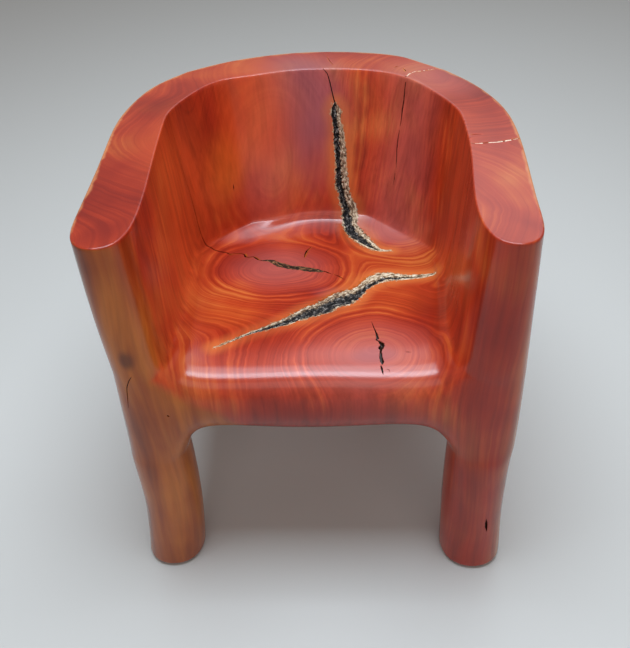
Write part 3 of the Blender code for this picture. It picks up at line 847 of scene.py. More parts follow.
outside_share = np.clip((outwards - OUTWARDS_FROM) / OUTWARDS_FADE, 0, 1)
around_gap = AROUND_INSIDE - AROUND_REACH * outside_share + APART * (1 - behind)
record(split_mesh, "tan_gap", np.minimum(np.minimum(left_gap, right_gap), around_gap))


def add_node(tree, kind, inputs=(), output=0, **settings):
    """Add a shader node, set or join its inputs, and give back one of its outputs."""
    node = tree.nodes.new("ShaderNode" + kind)
    for name, value in settings.items():
        setattr(node, name, value)
    for name, value in dict(inputs).items():
        if isinstance(value, bpy.types.NodeSocket):
            tree.links.new(value, node.inputs[name])
        else:
            node.inputs[name].default_value = value
    return node.outputs[output]


def sum_up(tree, operation, *values):
    """One sum on numbers."""
    return add_node(tree, "Math", enumerate(values), operation=operation)


def sum_up_place(tree, operation, *values, output=0):
    """One sum on places."""
    return add_node(tree, "VectorMath", enumerate(values), output=output, operation=operation)


def fade(tree, value, start, end, low=0.0, high=1.0):
    """Smooth step from low at the start to high at the end."""
    return add_node(
        tree,
        "MapRange",
        {"Value": value, "From Min": start, "From Max": end, "To Min": low, "To Max": high},
        interpolation_type="SMOOTHSTEP",
    )


def blend_colours(tree, share, first, second, kind="MIX"):
    """Mix two colours."""
    colours = {}
    for socket, value in ((6, first), (7, second)):
        colours[socket] = value if isinstance(value, bpy.types.NodeSocket) else (*value, 1)
    return add_node(tree, "Mix", {0: share, **colours}, output=2, data_type="RGBA", blend_type=kind)


def scatter(tree, place, scale, detail=2.0, roughness=0.5, output=0):
    """Cloudy pattern: a number, or as output 1 a colour."""
    inputs = {"Vector": place, "Scale": scale, "Detail": detail, "Roughness": roughness}
    return add_node(tree, "TexNoise", inputs, output=output, noise_dimensions="3D")


def colour_ramp(tree, value, stops):
    """Run of colours along a value."""
    ramp = tree.nodes.new("ShaderNodeValToRGB")
    tree.links.new(value, ramp.inputs[0])
    while len(ramp.color_ramp.elements) < len(stops):
        ramp.color_ramp.elements.new(1.0)
    for element, (stop, colour) in zip(ramp.color_ramp.elements, stops):
        element.position = stop
        element.color = (*colour, 1)
    return ramp.outputs[0]


def read_value(tree, name):
    """Value written for each vertex."""
    return add_node(tree, "Attribute", output=2, attribute_name=name)


varnish = bpy.data.materials.new("varnished_red_hardwood")
varnish.use_nodes = True
tree = varnish.node_tree
shader = tree.nodes["Principled BSDF"]
shader.inputs["Roughness"].default_value = 0.40
shader.inputs["Specular IOR Level"].default_value = 0.02
shader.inputs["Coat Weight"].default_value = 1.0
shader.inputs["Coat Roughness"].default_value = 0.22
shader.inputs["Coat IOR"].default_value = 1.46

# The log swirls: slow wander of the rings, less along the log than across it
raw = add_node(tree, "TexCoord", output=3)
long_way = sum_up_place(tree, "MULTIPLY", raw, (1.0, 1.0, 0.35))
swirl = sum_up_place(tree, "SUBTRACT", scatter(tree, long_way, 4.2, 1.0, output=1), (0.5, 0.5, 0.5))
wobble = sum_up_place(tree, "SUBTRACT", scatter(tree, long_way, 17.0, 1.5, output=1), (0.5, 0.5, 0.5))
bent = sum_up_place(tree, "MULTIPLY_ADD", swirl, (0.070, 0.070, 0.0), raw)
bent = sum_up_place(tree, "MULTIPLY_ADD", wobble, (0.012, 0.012, 0.0), bent)
height_up = add_node(tree, "SeparateXYZ", {0: raw}, output=2)
rise = sum_up(tree, "SUBTRACT", height_up, SEAT_MIDDLE_Z)
rise_place = add_node(tree, "CombineXYZ", {0: rise, 1: rise, 2: rise})

# Hearts of the stems: place on the seat, stretch of its rings and how far it leans per metre up
HEARTS = [
    ((-0.075, 0.012), (0.86, 1.10), (0.0, 0.0)),
    ((0.099, -0.244), (0.95, 1.05), (0.02, 0.0)),
    ((0.175, 0.145), (1.0, 1.0), (0.10, 0.22)),
]
to_hearts = []
for (across, along), stretch, leaning in HEARTS:
    upright = sum_up_place(tree, "MULTIPLY_ADD", rise_place, (-leaning[0], -leaning[1], 0.0), bent)
    offset = sum_up_place(tree, "SUBTRACT", upright, (across, along, 0.0))
    offset = sum_up_place(tree, "MULTIPLY", offset, (*stretch, 0.0))
    to_hearts.append(sum_up_place(tree, "LENGTH", offset, output=1))
to_heart = sum_up(tree, "SMOOTH_MIN", to_hearts[0], to_hearts[1], 0.05)
to_heart = sum_up(tree, "SMOOTH_MIN", to_heart, to_hearts[2], 0.05)
# The back was carved through a bulge of the log, so its rings show there as arches
BULGE_PLACE = (-0.100, 0.225, 0.520)
BULGE_STRETCH = (0.95, 0.60, 0.62)
offset = sum_up_place(tree, "MULTIPLY", sum_up_place(tree, "SUBTRACT", bent, BULGE_PLACE), BULGE_STRETCH)
to_bulge = sum_up_place(tree, "LENGTH", offset, output=1)
to_heart = sum_up(tree, "SMOOTH_MIN", to_heart, sum_up(tree, "ADD", to_bulge, 0.015), 0.05)

# Rings: soft broad bands, finer ones between them and slow clouds of lighter wood, all fainter
# on upright faces, on the rim and on the bulge of the back
level = read_value(tree, "level")
upright_share = fade(tree, level, 0.85, 0.35)
unsteady = sum_up(tree, "SUBTRACT", scatter(tree, long_way, 70.0, 2.0), 0.5)
ring_way = sum_up(tree, "MULTIPLY_ADD", unsteady, 0.0035, to_heart)
bands = add_node(
    tree, "TexNoise", {"W": ring_way, "Scale": 36.0, "Detail": 1.5, "Roughness": 0.5}, noise_dimensions="1D"
)
rings = add_node(
    tree, "TexNoise", {"W": ring_way, "Scale": 125.0, "Detail": 2.5, "Roughness": 0.65}, noise_dimensions="1D"
)
clouds = scatter(tree, bent, 6.5, 2.5, 0.5)
patchy = scatter(tree, raw, 13.0, 2.0)
calm = fade(tree, to_bulge, 0.17, 0.09)
ring_strength = sum_up(tree, "MULTIPLY_ADD", upright_share, -0.45, 1.0)
ring_strength = sum_up(tree, "MULTIPLY", ring_strength, sum_up(tree, "MULTIPLY_ADD", calm, -0.55, 1.0))
ring_strength = sum_up(tree, "MULTIPLY", ring_strength, fade(tree, patchy, 0.30, 0.65, 0.35, 1.0))
rim_share = sum_up(tree, "MULTIPLY", fade(tree, level, 0.8, 0.97), fade(tree, height_up, 0.69, 0.698))
ring_strength = sum_up(tree, "MULTIPLY", ring_strength, sum_up(tree, "MULTIPLY_ADD", rim_share, -0.45, 1.0))
ring_tone = sum_up(tree, "MULTIPLY", sum_up(tree, "SUBTRACT", rings, 0.5), ring_strength)
band_tone = sum_up(tree, "MULTIPLY", sum_up(tree, "SUBTRACT", bands, 0.5), ring_strength)
tone = sum_up(tree, "MULTIPLY_ADD", ring_tone, 0.40, sum_up(tree, "MULTIPLY_ADD", clouds, 0.75, 0.125))
tone = sum_up(tree, "MULTIPLY_ADD", band_tone, 0.38, tone)
wood_colour = colour_ramp(
    tree,
    tone,
    [
        (0.33, (0.240, 0.012, 0.004)),
        (0.43, (0.345, 0.023, 0.006)),
        (0.50, (0.420, 0.036, 0.009)),
        (0.57, (0.485, 0.062, 0.013)),
        (0.68, (0.550, 0.115, 0.024)),
    ],
)

# Grain: fine lines along the log on its upright faces, hardly any on its end grain
fibres = scatter(tree, sum_up_place(tree, "MULTIPLY", bent, (1.0, 1.0, 0.03)), 210.0, 2.5, 0.6)
streaks = scatter(tree, sum_up_place(tree, "MULTIPLY", bent, (1.0, 1.0, 0.07)), 42.0, 2.5, 0.55)
fibre_shade = fade(tree, fibres, 0.32, 0.66, -0.09, 0.05)
streak_shade = fade(tree, streaks, 0.34, 0.62, -0.16, 0.12)
upright_shade = sum_up(tree, "MULTIPLY", sum_up(tree, "ADD", fibre_shade, streak_shade), upright_share)
upright_shade = sum_up(tree, "MULTIPLY", upright_shade, sum_up(tree, "MULTIPLY_ADD", calm, -0.5, 1.0))
# Shade: the grain's lines and rings, together with painted shade that makes all the wood a little darker,
# level faces more than upright ones and the rim top darker still
shade = sum_up(tree, "ADD", upright_shade, fade(tree, level, 0.35, 0.85, 0.92, 0.79))
shade = sum_up(tree, "MULTIPLY_ADD", rim_share, -0.12, shade)
shade = sum_up(tree, "MULTIPLY_ADD", ring_tone, 0.45, shade)

# Heart of each stem: purple-pink heartwood, lifted in green and blue as a painted bluish sheen
HEART_AND_SHEEN_COLOUR = (0.45, 0.130, 0.115)
heart_share = fade(tree, to_heart, 0.12, 0.01, 0.0, 0.50)
wood_colour = blend_colours(tree, heart_share, wood_colour, HEART_AND_SHEEN_COLOUR)


def cloud(centre, radii, strength):
    """Share of a soft-edged patch round a place on the wood."""
    offset = sum_up_place(tree, "SUBTRACT", bent, centre)
    offset = sum_up_place(tree, "DIVIDE", offset, radii)
    return fade(tree, sum_up_place(tree, "LENGTH", offset, output=1), 1.0, 0.25, 0.0, strength)


# Soft patches: purple and orange wood; a rosy patch along the seat's front edge that is partly
# rosy wood and partly a painted highlight; deep patches on the fronts, the apron, the right leg and
# the left rim that are partly darker wood and partly painted shade; and bright patches of painted
# light on the inner walls. Each gives centre, reach, strength and colour. The largest purple one
# lies on the back beside the seam.
PURPLE = (0.29, 0.080, 0.095)
ORANGE = (0.60, 0.110, 0.014)
# Rosy wood along the seat's front edge, lightened there as a painted highlight
ROSE_AND_HIGHLIGHT = (0.70, 0.130, 0.080)
# Deep red-brown: partly darker wood, partly painted shade on the fronts, the apron and the left rim
DEEP_WOOD_AND_SHADE = (0.27, 0.010, 0.001)
# Painted light on the inner walls of the arms and the back
PAINTED_WALL_LIGHT = (0.66, 0.085, 0.018)
PATCHES = [
    ((-0.030, 0.235, 0.640), (0.130, 0.12, 0.16), 0.75, PURPLE),
    ((0.000, 0.215, 0.530), (0.060, 0.06, 0.12), 0.35, PURPLE),
    ((0.030, -0.270, 0.435), (0.230, 0.08, 0.06), 0.32, ROSE_AND_HIGHLIGHT),
    ((-0.280, -0.120, 0.700), (0.090, 0.26, 0.03), 0.35, DEEP_WOOD_AND_SHADE),
    ((0.100, -0.255, 0.443), (0.045, 0.03, 0.05), 0.40, PURPLE),
    ((-0.190, 0.150, 0.540), (0.060, 0.10, 0.10), 0.55, ORANGE),
    ((-0.150, -0.150, 0.440), (0.090, 0.05, 0.06), 0.20, ORANGE),
    ((0.150, -0.100, 0.425), (0.080, 0.06, 0.06), 0.15, ORANGE),
    ((0.020, -0.320, 0.340), (0.300, 0.08, 0.08), 0.80, DEEP_WOOD_AND_SHADE),
    ((0.260, -0.310, 0.150), (0.110, 0.14, 0.32), 0.65, DEEP_WOOD_AND_SHADE),
    ((0.270, -0.335, 0.520), (0.090, 0.06, 0.24), 0.65, DEEP_WOOD_AND_SHADE),
    ((-0.230, -0.335, 0.540), (0.060, 0.06, 0.22), 0.40, DEEP_WOOD_AND_SHADE),
    ((0.020, -0.075, 0.420), (0.050, 0.03, 0.04), 0.30, PURPLE),
    ((-0.240, -0.020, 0.560), (0.070, 0.25, 0.22), 0.75, PAINTED_WALL_LIGHT),
    ((-0.120, 0.220, 0.610), (0.120, 0.12, 0.15), 0.55, PAINTED_WALL_LIGHT),
    ((0.240, -0.020, 0.580), (0.060, 0.24, 0.20), 0.35, PAINTED_WALL_LIGHT),
]
for centre, radii, strength, colour in PATCHES:
    wood_colour = blend_colours(tree, cloud(centre, radii, strength), wood_colour, colour)
wood_colour = sum_up_place(tree, "SCALE", wood_colour)
tree.links.new(shade, wood_colour.node.inputs["Scale"])

# Glow of orange beside the bark, and its pale torn edge
GLOW_COLOUR = (0.56, 0.15, 0.035)
seam_gap = read_value(tree, "seam_gap")
glow_strength = fade(tree, clouds, 0.30, 0.62, 0.22, 0.62)
glow = sum_up(tree, "MULTIPLY", fade(tree, seam_gap, 0.026, 0.002), glow_strength)
wood_colour = blend_colours(tree, glow, wood_colour, GLOW_COLOUR)
torn = scatter(tree, raw, 135.0, 3.0, 0.65)
torn_fine = scatter(tree, raw, 750.0, 2.0, 0.6)
torn_gap = sum_up(tree, "MULTIPLY_ADD", sum_up(tree, "SUBTRACT", torn, 0.455), -0.020, seam_gap)
torn_gap = sum_up(tree, "MULTIPLY_ADD", sum_up(tree, "SUBTRACT", torn_fine, 0.5), -0.003, torn_gap)
torn_colour = colour_ramp(
    tree,
    sum_up(tree, "MULTIPLY_ADD", torn_fine, 0.6, sum_up(tree, "MULTIPLY", clouds, 0.4)),
    [(0.36, (0.15, 0.055, 0.022)), (0.48, (0.34, 0.190, 0.095)), (0.62, (0.54, 0.38, 0.22))],
)
torn_share = fade(tree, torn_gap, 0.0006, -0.0012, 0.0, 0.92)
wood_colour = blend_colours(tree, torn_share, wood_colour, torn_colour)

# Tan sapwood outside, with a knot on the left arm and darker streaks
sap_colour = colour_ramp(
    tree,
    sum_up(tree, "MULTIPLY_ADD", streaks, 0.55, sum_up(tree, "MULTIPLY", clouds, 0.45)),
    [(0.36, (0.180, 0.030, 0.003)), (0.50, (0.315, 0.066, 0.005)), (0.64, (0.440, 0.125, 0.014))],
)
sap_colour = sum_up_place(tree, "SCALE", sap_colour)
tree.links.new(sum_up(tree, "ADD", fibre_shade, 1.0), sap_colour.node.inputs["Scale"])
tan_edge = scatter(tree, long_way, 16.0, 3.0)
tan_gap = sum_up(tree, "MULTIPLY_ADD", tan_edge, -0.036, read_value(tree, "tan_gap"))
tan_share = fade(tree, tan_gap, 0.002, -0.040, 0.0, 0.92)
wood_colour = blend_colours(tree, tan_share, wood_colour, sap_colour)
SHELL_COLOUR = (0.50, 0.20, 0.075)
shell_gap = read_value(tree, "shell_gap")
shell_edge = sum_up(tree, "MULTIPLY_ADD", scatter(tree, long_way, 30.0, 2.0), -0.012, shell_gap)
shell_share = fade(tree, shell_edge, 0.001, -0.004, 0.0, 0.6)
wood_colour = blend_colours(tree, shell_share, wood_colour, SHELL_COLOUR)
KNOT_PLACE = (-0.251, -0.323, 0.504)
KNOT_RADII = (0.014, 0.03, 0.026)
KNOT_COLOUR = (0.085, 0.018, 0.006)
wood_colour = blend_colours(tree, cloud(KNOT_PLACE, KNOT_RADII, 0.75), wood_colour, KNOT_COLOUR)

# Dark inside the splits: dark wood, with painted shade that deepens with depth
SPLIT_DARK_AND_SHADE = (0.020, 0.008, 0.004)
below = read_value(tree, "below")
wood_colour = blend_colours(tree, fade(tree, below, 0.0001, 0.0022), wood_colour, SPLIT_DARK_AND_SHADE)
tree.links.new(wood_colour, shader.inputs["Base Color"])
grain_bump = add_node(tree, "Bump", {"Height": fibres, "Strength": 0.10, "Distance": 0.0006})
tree.links.new(grain_bump, shader.inputs["Normal"])
split_mesh.materials.clear()
split_mesh.materials.append(varnish)

# Bark grown into the seat and the back
# Rough grey-black bark trapped between the stems, brown in the crack on the left. A dark band runs
# along each strip, with torn paler fibres on both sides of it that meet the wood.

BARK_FINE = 3
BARK_ACROSS = 36
BARK_THICK = 0.0015
BARK_TUCK = 0.0006
BARK_FLUSH = 0.0002
BARK_PROUD = 0.0005
FULL_HALF = 0.010
TUCKED = 0.99
# Sizes of the bark's lumps, grit and crevices along the strip and across it, and of the wander of
# its dark band along it
LUMP_SIZE = (0.010, 0.0040)
GRIT_SIZE = (0.0020, 0.0011)
CREVICE_SIZE = (0.0070, 0.0022)
BAND_WANDER = 0.006
LUMP_DIMENSION = 0.9
LUMP_SHRINK = 2.1
LUMP_OCTAVES = 4
# How deep the relief goes: on the fibres, and how much deeper on the dark band
FIBRE_RELIEF = 0.0008
DARK_RELIEF = 0.0012
# Half the dark band's width as a share of the strip's: at its thinnest, and added where all is dark
THIN_BAND = 0.10
BAND_GROWTH = 0.48
# Along each seam: share of its length, side on which the dark band runs, and paleness of the fibres
SEAT_BAND = [
    (0.0, 0.1, 0.6),
    (0.25, 0.15, 0.35),
    (0.52, 0.1, 0.35),
    (0.62, 0.45, 0.6),
    (0.72, 0.5, 0.8),
    (1.0, -0.2, 1.0),
]
BACK_BAND = [
    (0.0, 0.3, 0.5),
    (0.15, 0.5, 0.3),
    (0.55, 0.45, 0.35),
    (0.74, 0.2, 0.6),
    (0.82, 0.0, 0.95),
    (1.0, 0.0, 1.0),
]
SIDE_BAND = [(0.0, 0.0, 0.2), (1.0, 0.0, 0.2)]
SEAT_BARK_SINK = 0.0035
BACK_BARK_SINK = 0.0045
SIDE_BARK_SINK = 0.0015


def grain(along, offset, size, seed):
    """Place in the noise of the bark for this place on the strip."""
    return Vector((along / size[0], offset / size[1], seed))


def add_bark(name, stations, band, node, finish, sink, seed):
    """Strip of bark along a split, tucked into the wood on both sides."""
    strip = bmesh.new()
    last = len(stations) - 1
    layers = {word: strip.verts.layers.float.new(word) for word in ("edge", "crest", "pale")}
    spread = [lips(place, half) for place, _, _, half, _ in stations]
    band_lengths, band_sides, band_pales = zip(*band)
    bmesh.ops.create_grid(strip, x_segments=last * BARK_FINE, y_segments=BARK_ACROSS, size=1)
    for vert in strip.verts:
        position = (vert.co.x + 1) / 2 * last
        share = vert.co.y
        number = min(int(position), last - 1)
        part = position - number
        here = stations[number]
        ahead = stations[number + 1]
        place, out, across = (here[item].lerp(ahead[item], part) for item in range(3))
        half, dark = (here[item] * (1 - part) + ahead[item] * part for item in (3, 4))
        left, right = (
            spread[number][item] * (1 - part) + spread[number + 1][item] * part for item in (0, 1)
        )
        tuck = BARK_TUCK * (share > TUCKED) - BARK_TUCK * (share < -TUCKED)
        offset = share * (right if share > 0 else left) + tuck
        side = np.interp(position / last, band_lengths, band_sides)
        pale = np.interp(position / last, band_lengths, band_pales)
        along = position * STEP
        lump_place = grain(along, offset, LUMP_SIZE, seed)
        lump = noise.fractal(lump_place, LUMP_DIMENSION, LUMP_SHRINK, LUMP_OCTAVES)
        grit = noise.noise(grain(along, offset, GRIT_SIZE, seed + 5))
        crevice = 1 - min(abs(noise.noise(grain(along, offset, CREVICE_SIZE, seed + 9))) * 4, 1)
        wander = noise.noise(Vector((along / BAND_WANDER, share * 2, seed + 13)))
        edge = abs(share - side) / (THIN_BAND + BAND_GROWTH * dark) - 1 + 0.5 * wander
        inside = min(max(0.5 - edge, 0), 1)
        full = min(half / FULL_HALF, 1)
        bowl = 1 - share ** 4
        low = BARK_FLUSH + sink * full * inside * bowl
        relief = crevice - 0.4 - 1.1 * lump - 0.7 * grit
        low += full * bowl * (FIBRE_RELIEF + DARK_RELIEF * inside) * relief
        low = max(low, -BARK_PROUD)
        vert[layers["edge"]] = edge
        vert[layers["crest"]] = 0.5 + 0.65 * lump + 0.35 * grit - 0.45 * (crevice - 0.3)
        vert[layers["pale"]] = pale
        vert.co = place + across * offset - out * low
    bmesh.ops.recalc_face_normals(strip, faces=strip.faces)
    halfway, up = stations[last // 2][:2]
    middle_face = min(strip.faces, key=lambda face: (face.calc_center_median() - halfway).length)
    if middle_face.normal.dot(up) < 0:
        bmesh.ops.reverse_faces(strip, faces=strip.faces)
    data = bpy.data.meshes.new(name)
    strip.to_mesh(data)
    strip.free()
    piece = bpy.data.objects.new(name, data)
    bpy.context.collection.objects.link(piece)
    thick = piece.modifiers.new("thick", "SOLIDIFY")
    thick.thickness = BARK_THICK
    thick.offset = -1
    data.shade_smooth()
    data.materials.append(finish)
    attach(piece, "root")
    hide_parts(node)


def bark_finish(name, deep, fibres, pale_fibres):
    """Bark: runs of colour from crevice to crest, for its dark band and for the fibres beside it."""
    made = bpy.data.materials.new(name)
    made.use_nodes = True
    tree = made.node_tree
    shader = tree.nodes["Principled BSDF"]
    place = add_node(tree, "TexCoord", output=3)
    flakes = scatter(tree, place, 330.0, 3.0, 0.65)
    grit = scatter(tree, place, 1300.0, 2.0, 0.6)
    speckle = sum_up(tree, "MULTIPLY_ADD", grit, 0.7, sum_up(tree, "MULTIPLY_ADD", flakes, 0.5, -0.60))
    crest = sum_up(tree, "ADD", read_value(tree, "crest"), speckle)
    dark_colour = colour_ramp(tree, crest, deep)
    plain_colour = colour_ramp(tree, crest, fibres)
    pale_colour = colour_ramp(tree, crest, pale_fibres)
    fibre_colour = blend_colours(tree, read_value(tree, "pale"), plain_colour, pale_colour)
    flaking = sum_up(tree, "SUBTRACT", flakes, 0.5)
    edge = sum_up(tree, "MULTIPLY_ADD", flaking, 1.6, read_value(tree, "edge"))
    colour = blend_colours(tree, fade(tree, edge, -0.15, 0.35), dark_colour, fibre_colour)
    tree.links.new(colour, shader.inputs["Base Color"])
    shader.inputs["Roughness"].default_value = 0.85
    shader.inputs["Specular IOR Level"].default_value = 0.25
    bump = add_node(tree, "Bump", {"Height": crest, "Strength": 0.5, "Distance": 0.0010})
    tree.links.new(bump, shader.inputs["Normal"])
    return made


grey_bark = bark_finish(
    "grey_bark",
    [
        (0.30, (0.004, 0.003, 0.003)),
        (0.58, (0.017, 0.014, 0.013)),
        (0.78, (0.070, 0.060, 0.054)),
        (1.00, (0.24, 0.21, 0.185)),
    ],
    [
        (0.22, (0.065, 0.034, 0.020)),
        (0.48, (0.210, 0.130, 0.080)),
        (0.72, (0.360, 0.255, 0.170)),
        (0.95, (0.51, 0.41, 0.30)),
    ],
    [
        (0.15, (0.150, 0.085, 0.045)),
        (0.42, (0.400, 0.285, 0.170)),
        (0.65, (0.600, 0.455, 0.300)),
        (0.90, (0.74, 0.61, 0.45)),
    ],
)
brown_bark = bark_finish(
    "brown_bark",
    [
        (0.25, (0.005, 0.002, 0.001)),
        (0.50, (0.034, 0.012, 0.004)),
        (0.72, (0.125, 0.045, 0.016)),
        (0.97, (0.30, 0.14, 0.06)),
    ],
    [(0.30, (0.006, 0.002, 0.001)), (0.60, (0.025, 0.009, 0.003)), (0.90, (0.12, 0.045, 0.012))],
    [(0.30, (0.060, 0.025, 0.010)), (0.60, (0.250, 0.120, 0.040)), (0.90, (0.50, 0.30, 0.12))],
)
for name, stations, band, node, slot, finish, sink, seed in (
    ("seat_bark", seat_stations, SEAT_BAND, "seat_bark_seam", "grey_bark", grey_bark, SEAT_BARK_SINK, 3),
    ("back_bark", back_stations, BACK_BAND, "back_bark_seam", "grey_bark", grey_bark, BACK_BARK_SINK, 11),
    ("side_bark", side_stations, SIDE_BAND, "side_bark_seam", "brown_bark", brown_bark, SIDE_BARK_SINK, 23),
):
    add_bark(name, stations, band, node, finish, sink, seed)

# Filler in the two splits across the rim
# Crumbs of pale filler pressed into the splits and sanded level with the rim.

CRUMB_SPACING = 0.0024
CRUMB_SINK_SHARE = 0.55
CRUMB_PROUD = 0.0001
CRUMB_STRETCH = 1.7
CRUMB_FLATNESS = 0.8
MISSING_BELOW = -0.25
CRUMB_SIZE_SHARE = 1.15
CRUMB_SIZE_SPREAD = 0.5
CRUMB_DENTS = 0.35
SIZES_PER_METRE = 400
GAPS_PER_METRE = 130
DENTS_PER_METRE = 900


def filler_finish():
    """Pale chalky filler with dark specks."""
    made = bpy.data.materials.new("pale_filler")
    made.use_nodes = True
    tree = made.node_tree
    shader = tree.nodes["Principled BSDF"]
    place = add_node(tree, "TexCoord", output=3)
    specks = scatter(tree, place, 900.0, 3.0, 0.6)
    stops = [(0.32, (0.20, 0.11, 0.06)), (0.45, (0.62, 0.47, 0.33)), (0.62, (0.80, 0.68, 0.54))]
    colour = colour_ramp(tree, specks, stops)
    tree.links.new(colour, shader.inputs["Base Color"])
    shader.inputs["Roughness"].default_value = 0.6
    bump = add_node(tree, "Bump", {"Height": specks, "Strength": 0.4, "Distance": 0.0005})
    tree.links.new(bump, shader.inputs["Normal"])
    return made


def add_crumbs(name, stations, node, finish, seed):
    """Small flattened lumps along a split."""
    crumbs = bmesh.new()
    walked = 0.0
    for number, (place, out, across, half, _) in enumerate(stations[1:-1]):
        walked += (place - stations[number][0]).length
        if walked < CRUMB_SPACING:
            continue
        walked = 0.0
        uneven = noise.noise(place * SIZES_PER_METRE + Vector((seed, 0, 0)))
        size = half * (CRUMB_SIZE_SHARE + CRUMB_SIZE_SPREAD * uneven)
        if noise.noise(place * GAPS_PER_METRE + Vector((0, seed, 0))) < MISSING_BELOW:
            continue
        made = bmesh.ops.create_icosphere(crumbs, subdivisions=3, radius=size)["verts"]
        along = out.cross(across)
        turn = Matrix((along, across, out)).transposed()
        for vert in made:
            bump = 1 + CRUMB_DENTS * noise.noise(vert.co * DENTS_PER_METRE + place * 300)
            spot = Vector((vert.co.x * CRUMB_STRETCH, vert.co.y, vert.co.z * CRUMB_FLATNESS)) * bump
            vert.co = place - out * size * CRUMB_SINK_SHARE + turn @ spot
            vert.co.z = min(vert.co.z, HEIGHT + CRUMB_PROUD)
    data = bpy.data.meshes.new(name)
    crumbs.to_mesh(data)
    crumbs.free()
    data.shade_smooth()
    data.materials.append(finish)
    piece = bpy.data.objects.new(name, data)
    bpy.context.collection.objects.link(piece)
    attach(piece, "root")
    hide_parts(node)


pale_filler = filler_finish()
add_crumbs("arm_filler", arm_stations, "arm_crack_filler", pale_filler, 5)
add_crumbs("rim_filler", rim_stations, "rim_crack_filler", pale_filler, 9)

# Felt glides
# Thick brown felt discs stuck under the four feet.

GLIDE_RADIUS = 0.034
GLIDE_SIDES = 96
GLIDE_ROUND = 0.0009
GLIDE_FUZZ = 0.00025
GLIDE_SHARP = math.radians(40)
FUZZ_PER_METRE = 600

felt = bpy.data.materials.new("brown_felt")
felt.use_nodes = True
tree = felt.node_tree
shader = tree.nodes["Principled BSDF"]
place = add_node(tree, "TexCoord", output=3)
hairs = scatter(tree, place, 1400.0, 4.0, 0.7)
stops = [(0.30, (0.030, 0.020, 0.015)), (0.50, (0.085, 0.057, 0.042)), (0.70, (0.16, 0.115, 0.085))]
colour = colour_ramp(tree, hairs, stops)
tree.links.new(colour, shader.inputs["Base Color"])
shader.inputs["Roughness"].default_value = 0.95
shader.inputs["Sheen Weight"].default_value = 0.4
bump = add_node(tree, "Bump", {"Height": hairs, "Strength": 0.6, "Distance": 0.0006})
tree.links.new(bump, shader.inputs["Normal"])
for name, place in {
    "front_left": (0, 0),
    "front_right": (COLUMNS, 0),
    "back_left": (0, ROWS),
    "back_right": (COLUMNS, ROWS),
}.items():
    centre = legs[place][0][FOOT].to_3d() - middle
    disc = bmesh.new()
    bmesh.ops.create_cone(
        disc,
        cap_ends=True,
        segments=GLIDE_SIDES,
        radius1=GLIDE_RADIUS - GLIDE_FUZZ,
        radius2=GLIDE_RADIUS - GLIDE_FUZZ,
        depth=GLIDE_THICKNESS,
    )
    rims = [edge for edge in disc.edges if edge.calc_face_angle() > 1]
    bmesh.ops.bevel(
        disc,
        geom=rims,
        offset=GLIDE_ROUND,
        segments=ROUND_SEGMENTS,
        profile=0.5,
        affect="EDGES",
        material=-1,
    )
    for vert in disc.verts:
        out = Vector((vert.co.x, vert.co.y, 0)).normalized()
        vert.co += out * GLIDE_FUZZ * noise.noise((vert.co + centre) * FUZZ_PER_METRE)
    bmesh.ops.translate(disc, verts=disc.verts, vec=centre + Vector((0, 0, GLIDE_THICKNESS / 2)))
    data = bpy.data.meshes.new("felt_" + name)
    disc.to_mesh(data)
    disc.free()
    data.shade_smooth()
    data.set_sharp_from_angle(angle=GLIDE_SHARP)
    data.materials.append(felt)
    glide = bpy.data.objects.new("felt_" + name, data)
    bpy.context.collection.objects.link(glide)
    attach(glide, "root")
    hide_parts("felt_glide_" + name)

# Room
# A plain pale floor under soft light from above and from the front, seen by a camera that stands
# where the photograph was taken from.

FLOOR_SIZE = 12.0
FLOOR_COLOUR = (0.53, 0.50, 0.47)
WORLD_COLOUR = (1.0, 0.98, 0.96)
WORLD_STRENGTH = 0.32
floor_mesh = bmesh.new()
bmesh.ops.create_grid(floor_mesh, x_segments=1, y_segments=1, size=FLOOR_SIZE / 2)
floor_data = bpy.data.meshes.new("floor")
floor_mesh.to_mesh(floor_data)
floor_mesh.free()
floor = bpy.data.objects.new("floor", floor_data)
bpy.context.collection.objects.link(floor)
floor_paint = bpy.data.materials.new("pale_floor")
floor_paint.use_nodes = True
shader = floor_paint.node_tree.nodes["Principled BSDF"]
shader.inputs["Base Color"].default_value = (*FLOOR_COLOUR, 1)
shader.inputs["Roughness"].default_value = 0.6
floor_data.materials.append(floor_paint)

world = bpy.data.worlds.new("studio")
bpy.context.scene.world = world
world.use_nodes = True
backdrop = world.node_tree.nodes["Background"]
backdrop.inputs["Color"].default_value = (*WORLD_COLOUR, 1)
backdrop.inputs["Strength"].default_value = WORLD_STRENGTH


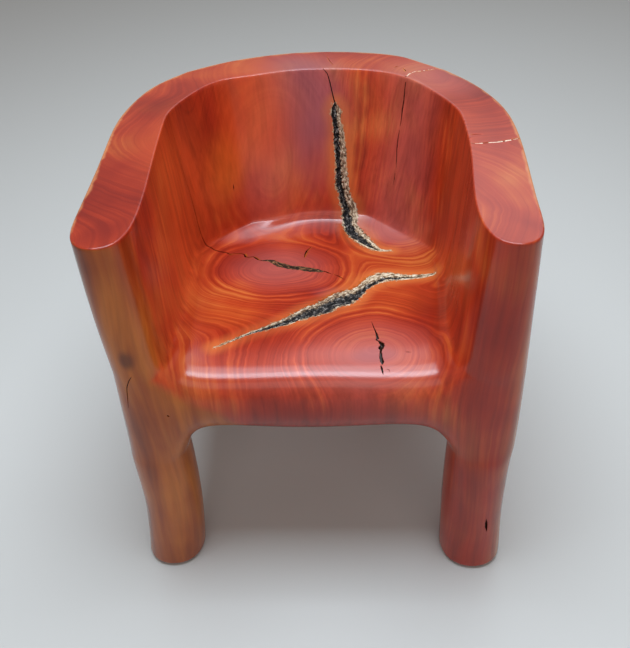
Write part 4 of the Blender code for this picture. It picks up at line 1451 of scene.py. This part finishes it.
def add_lamp(name, place, target, size, power, colour=(1, 1, 1)):
    """A soft box hung at a place and aimed at another."""
    lamp = bpy.data.lights.new(name, "AREA")
    lamp.shape = "RECTANGLE"
    lamp.size, lamp.size_y = size
    lamp.energy = power
    lamp.color = colour
    hung = bpy.data.objects.new(name, lamp)
    hung.location = place
    hung.rotation_euler = (Vector(target) - Vector(place)).to_track_quat("-Z", "Y").to_euler()
    bpy.context.collection.objects.link(hung)


COOL = (0.74, 0.88, 1.0)
add_lamp("ceiling_lamp", (-0.03, 0.50, 2.6), (-0.03, 0.50, 0.4), (1.6, 1.0), 24, COOL)
add_lamp("ceiling_strip", (-0.03, -0.30, 2.6), (-0.03, -0.30, 0.4), (1.6, 0.9), 60, COOL)
add_lamp("sky_panel", (0.70, 2.5, 3.0), (0.1, 0, 0.5), (2.4, 1.8), 20, COOL)
add_lamp("front_lamp", (0.5, -2.7, 2.6), (0, 0, 0.5), (3.2, 1.8), 20)

PHOTO_WIDTH = 630
PHOTO_HEIGHT = 648
FOCAL_PIXELS = 768.7
CENTRE_PIXEL = (322.2, 237.0)
CAMERA_PLACE = (0.0477, -1.1135, 1.2615)
PITCH = math.radians(34.81)
ROLL = math.radians(1.83)
HEADING = math.radians(1.96)
SENSOR_WIDTH = 36.0
longer_side = max(PHOTO_WIDTH, PHOTO_HEIGHT)
lens = bpy.data.cameras.new("camera")
lens.sensor_width = SENSOR_WIDTH
lens.lens = FOCAL_PIXELS * SENSOR_WIDTH / longer_side
lens.shift_x = (PHOTO_WIDTH / 2 - CENTRE_PIXEL[0]) / longer_side
lens.shift_y = (CENTRE_PIXEL[1] - PHOTO_HEIGHT / 2) / longer_side
camera = bpy.data.objects.new("camera", lens)
bpy.context.collection.objects.link(camera)
bpy.context.scene.camera = camera
look_round = Matrix.Rotation(HEADING, 3, "Z")
look_down = Matrix.Rotation(math.pi / 2 - PITCH, 3, "X")
turn = look_round @ look_down @ Matrix.Rotation(-ROLL, 3, "Z")
camera.matrix_world = Matrix.Translation(CAMERA_PLACE) @ turn.to_4x4()

bpy.context.scene.view_settings.view_transform = "Standard"
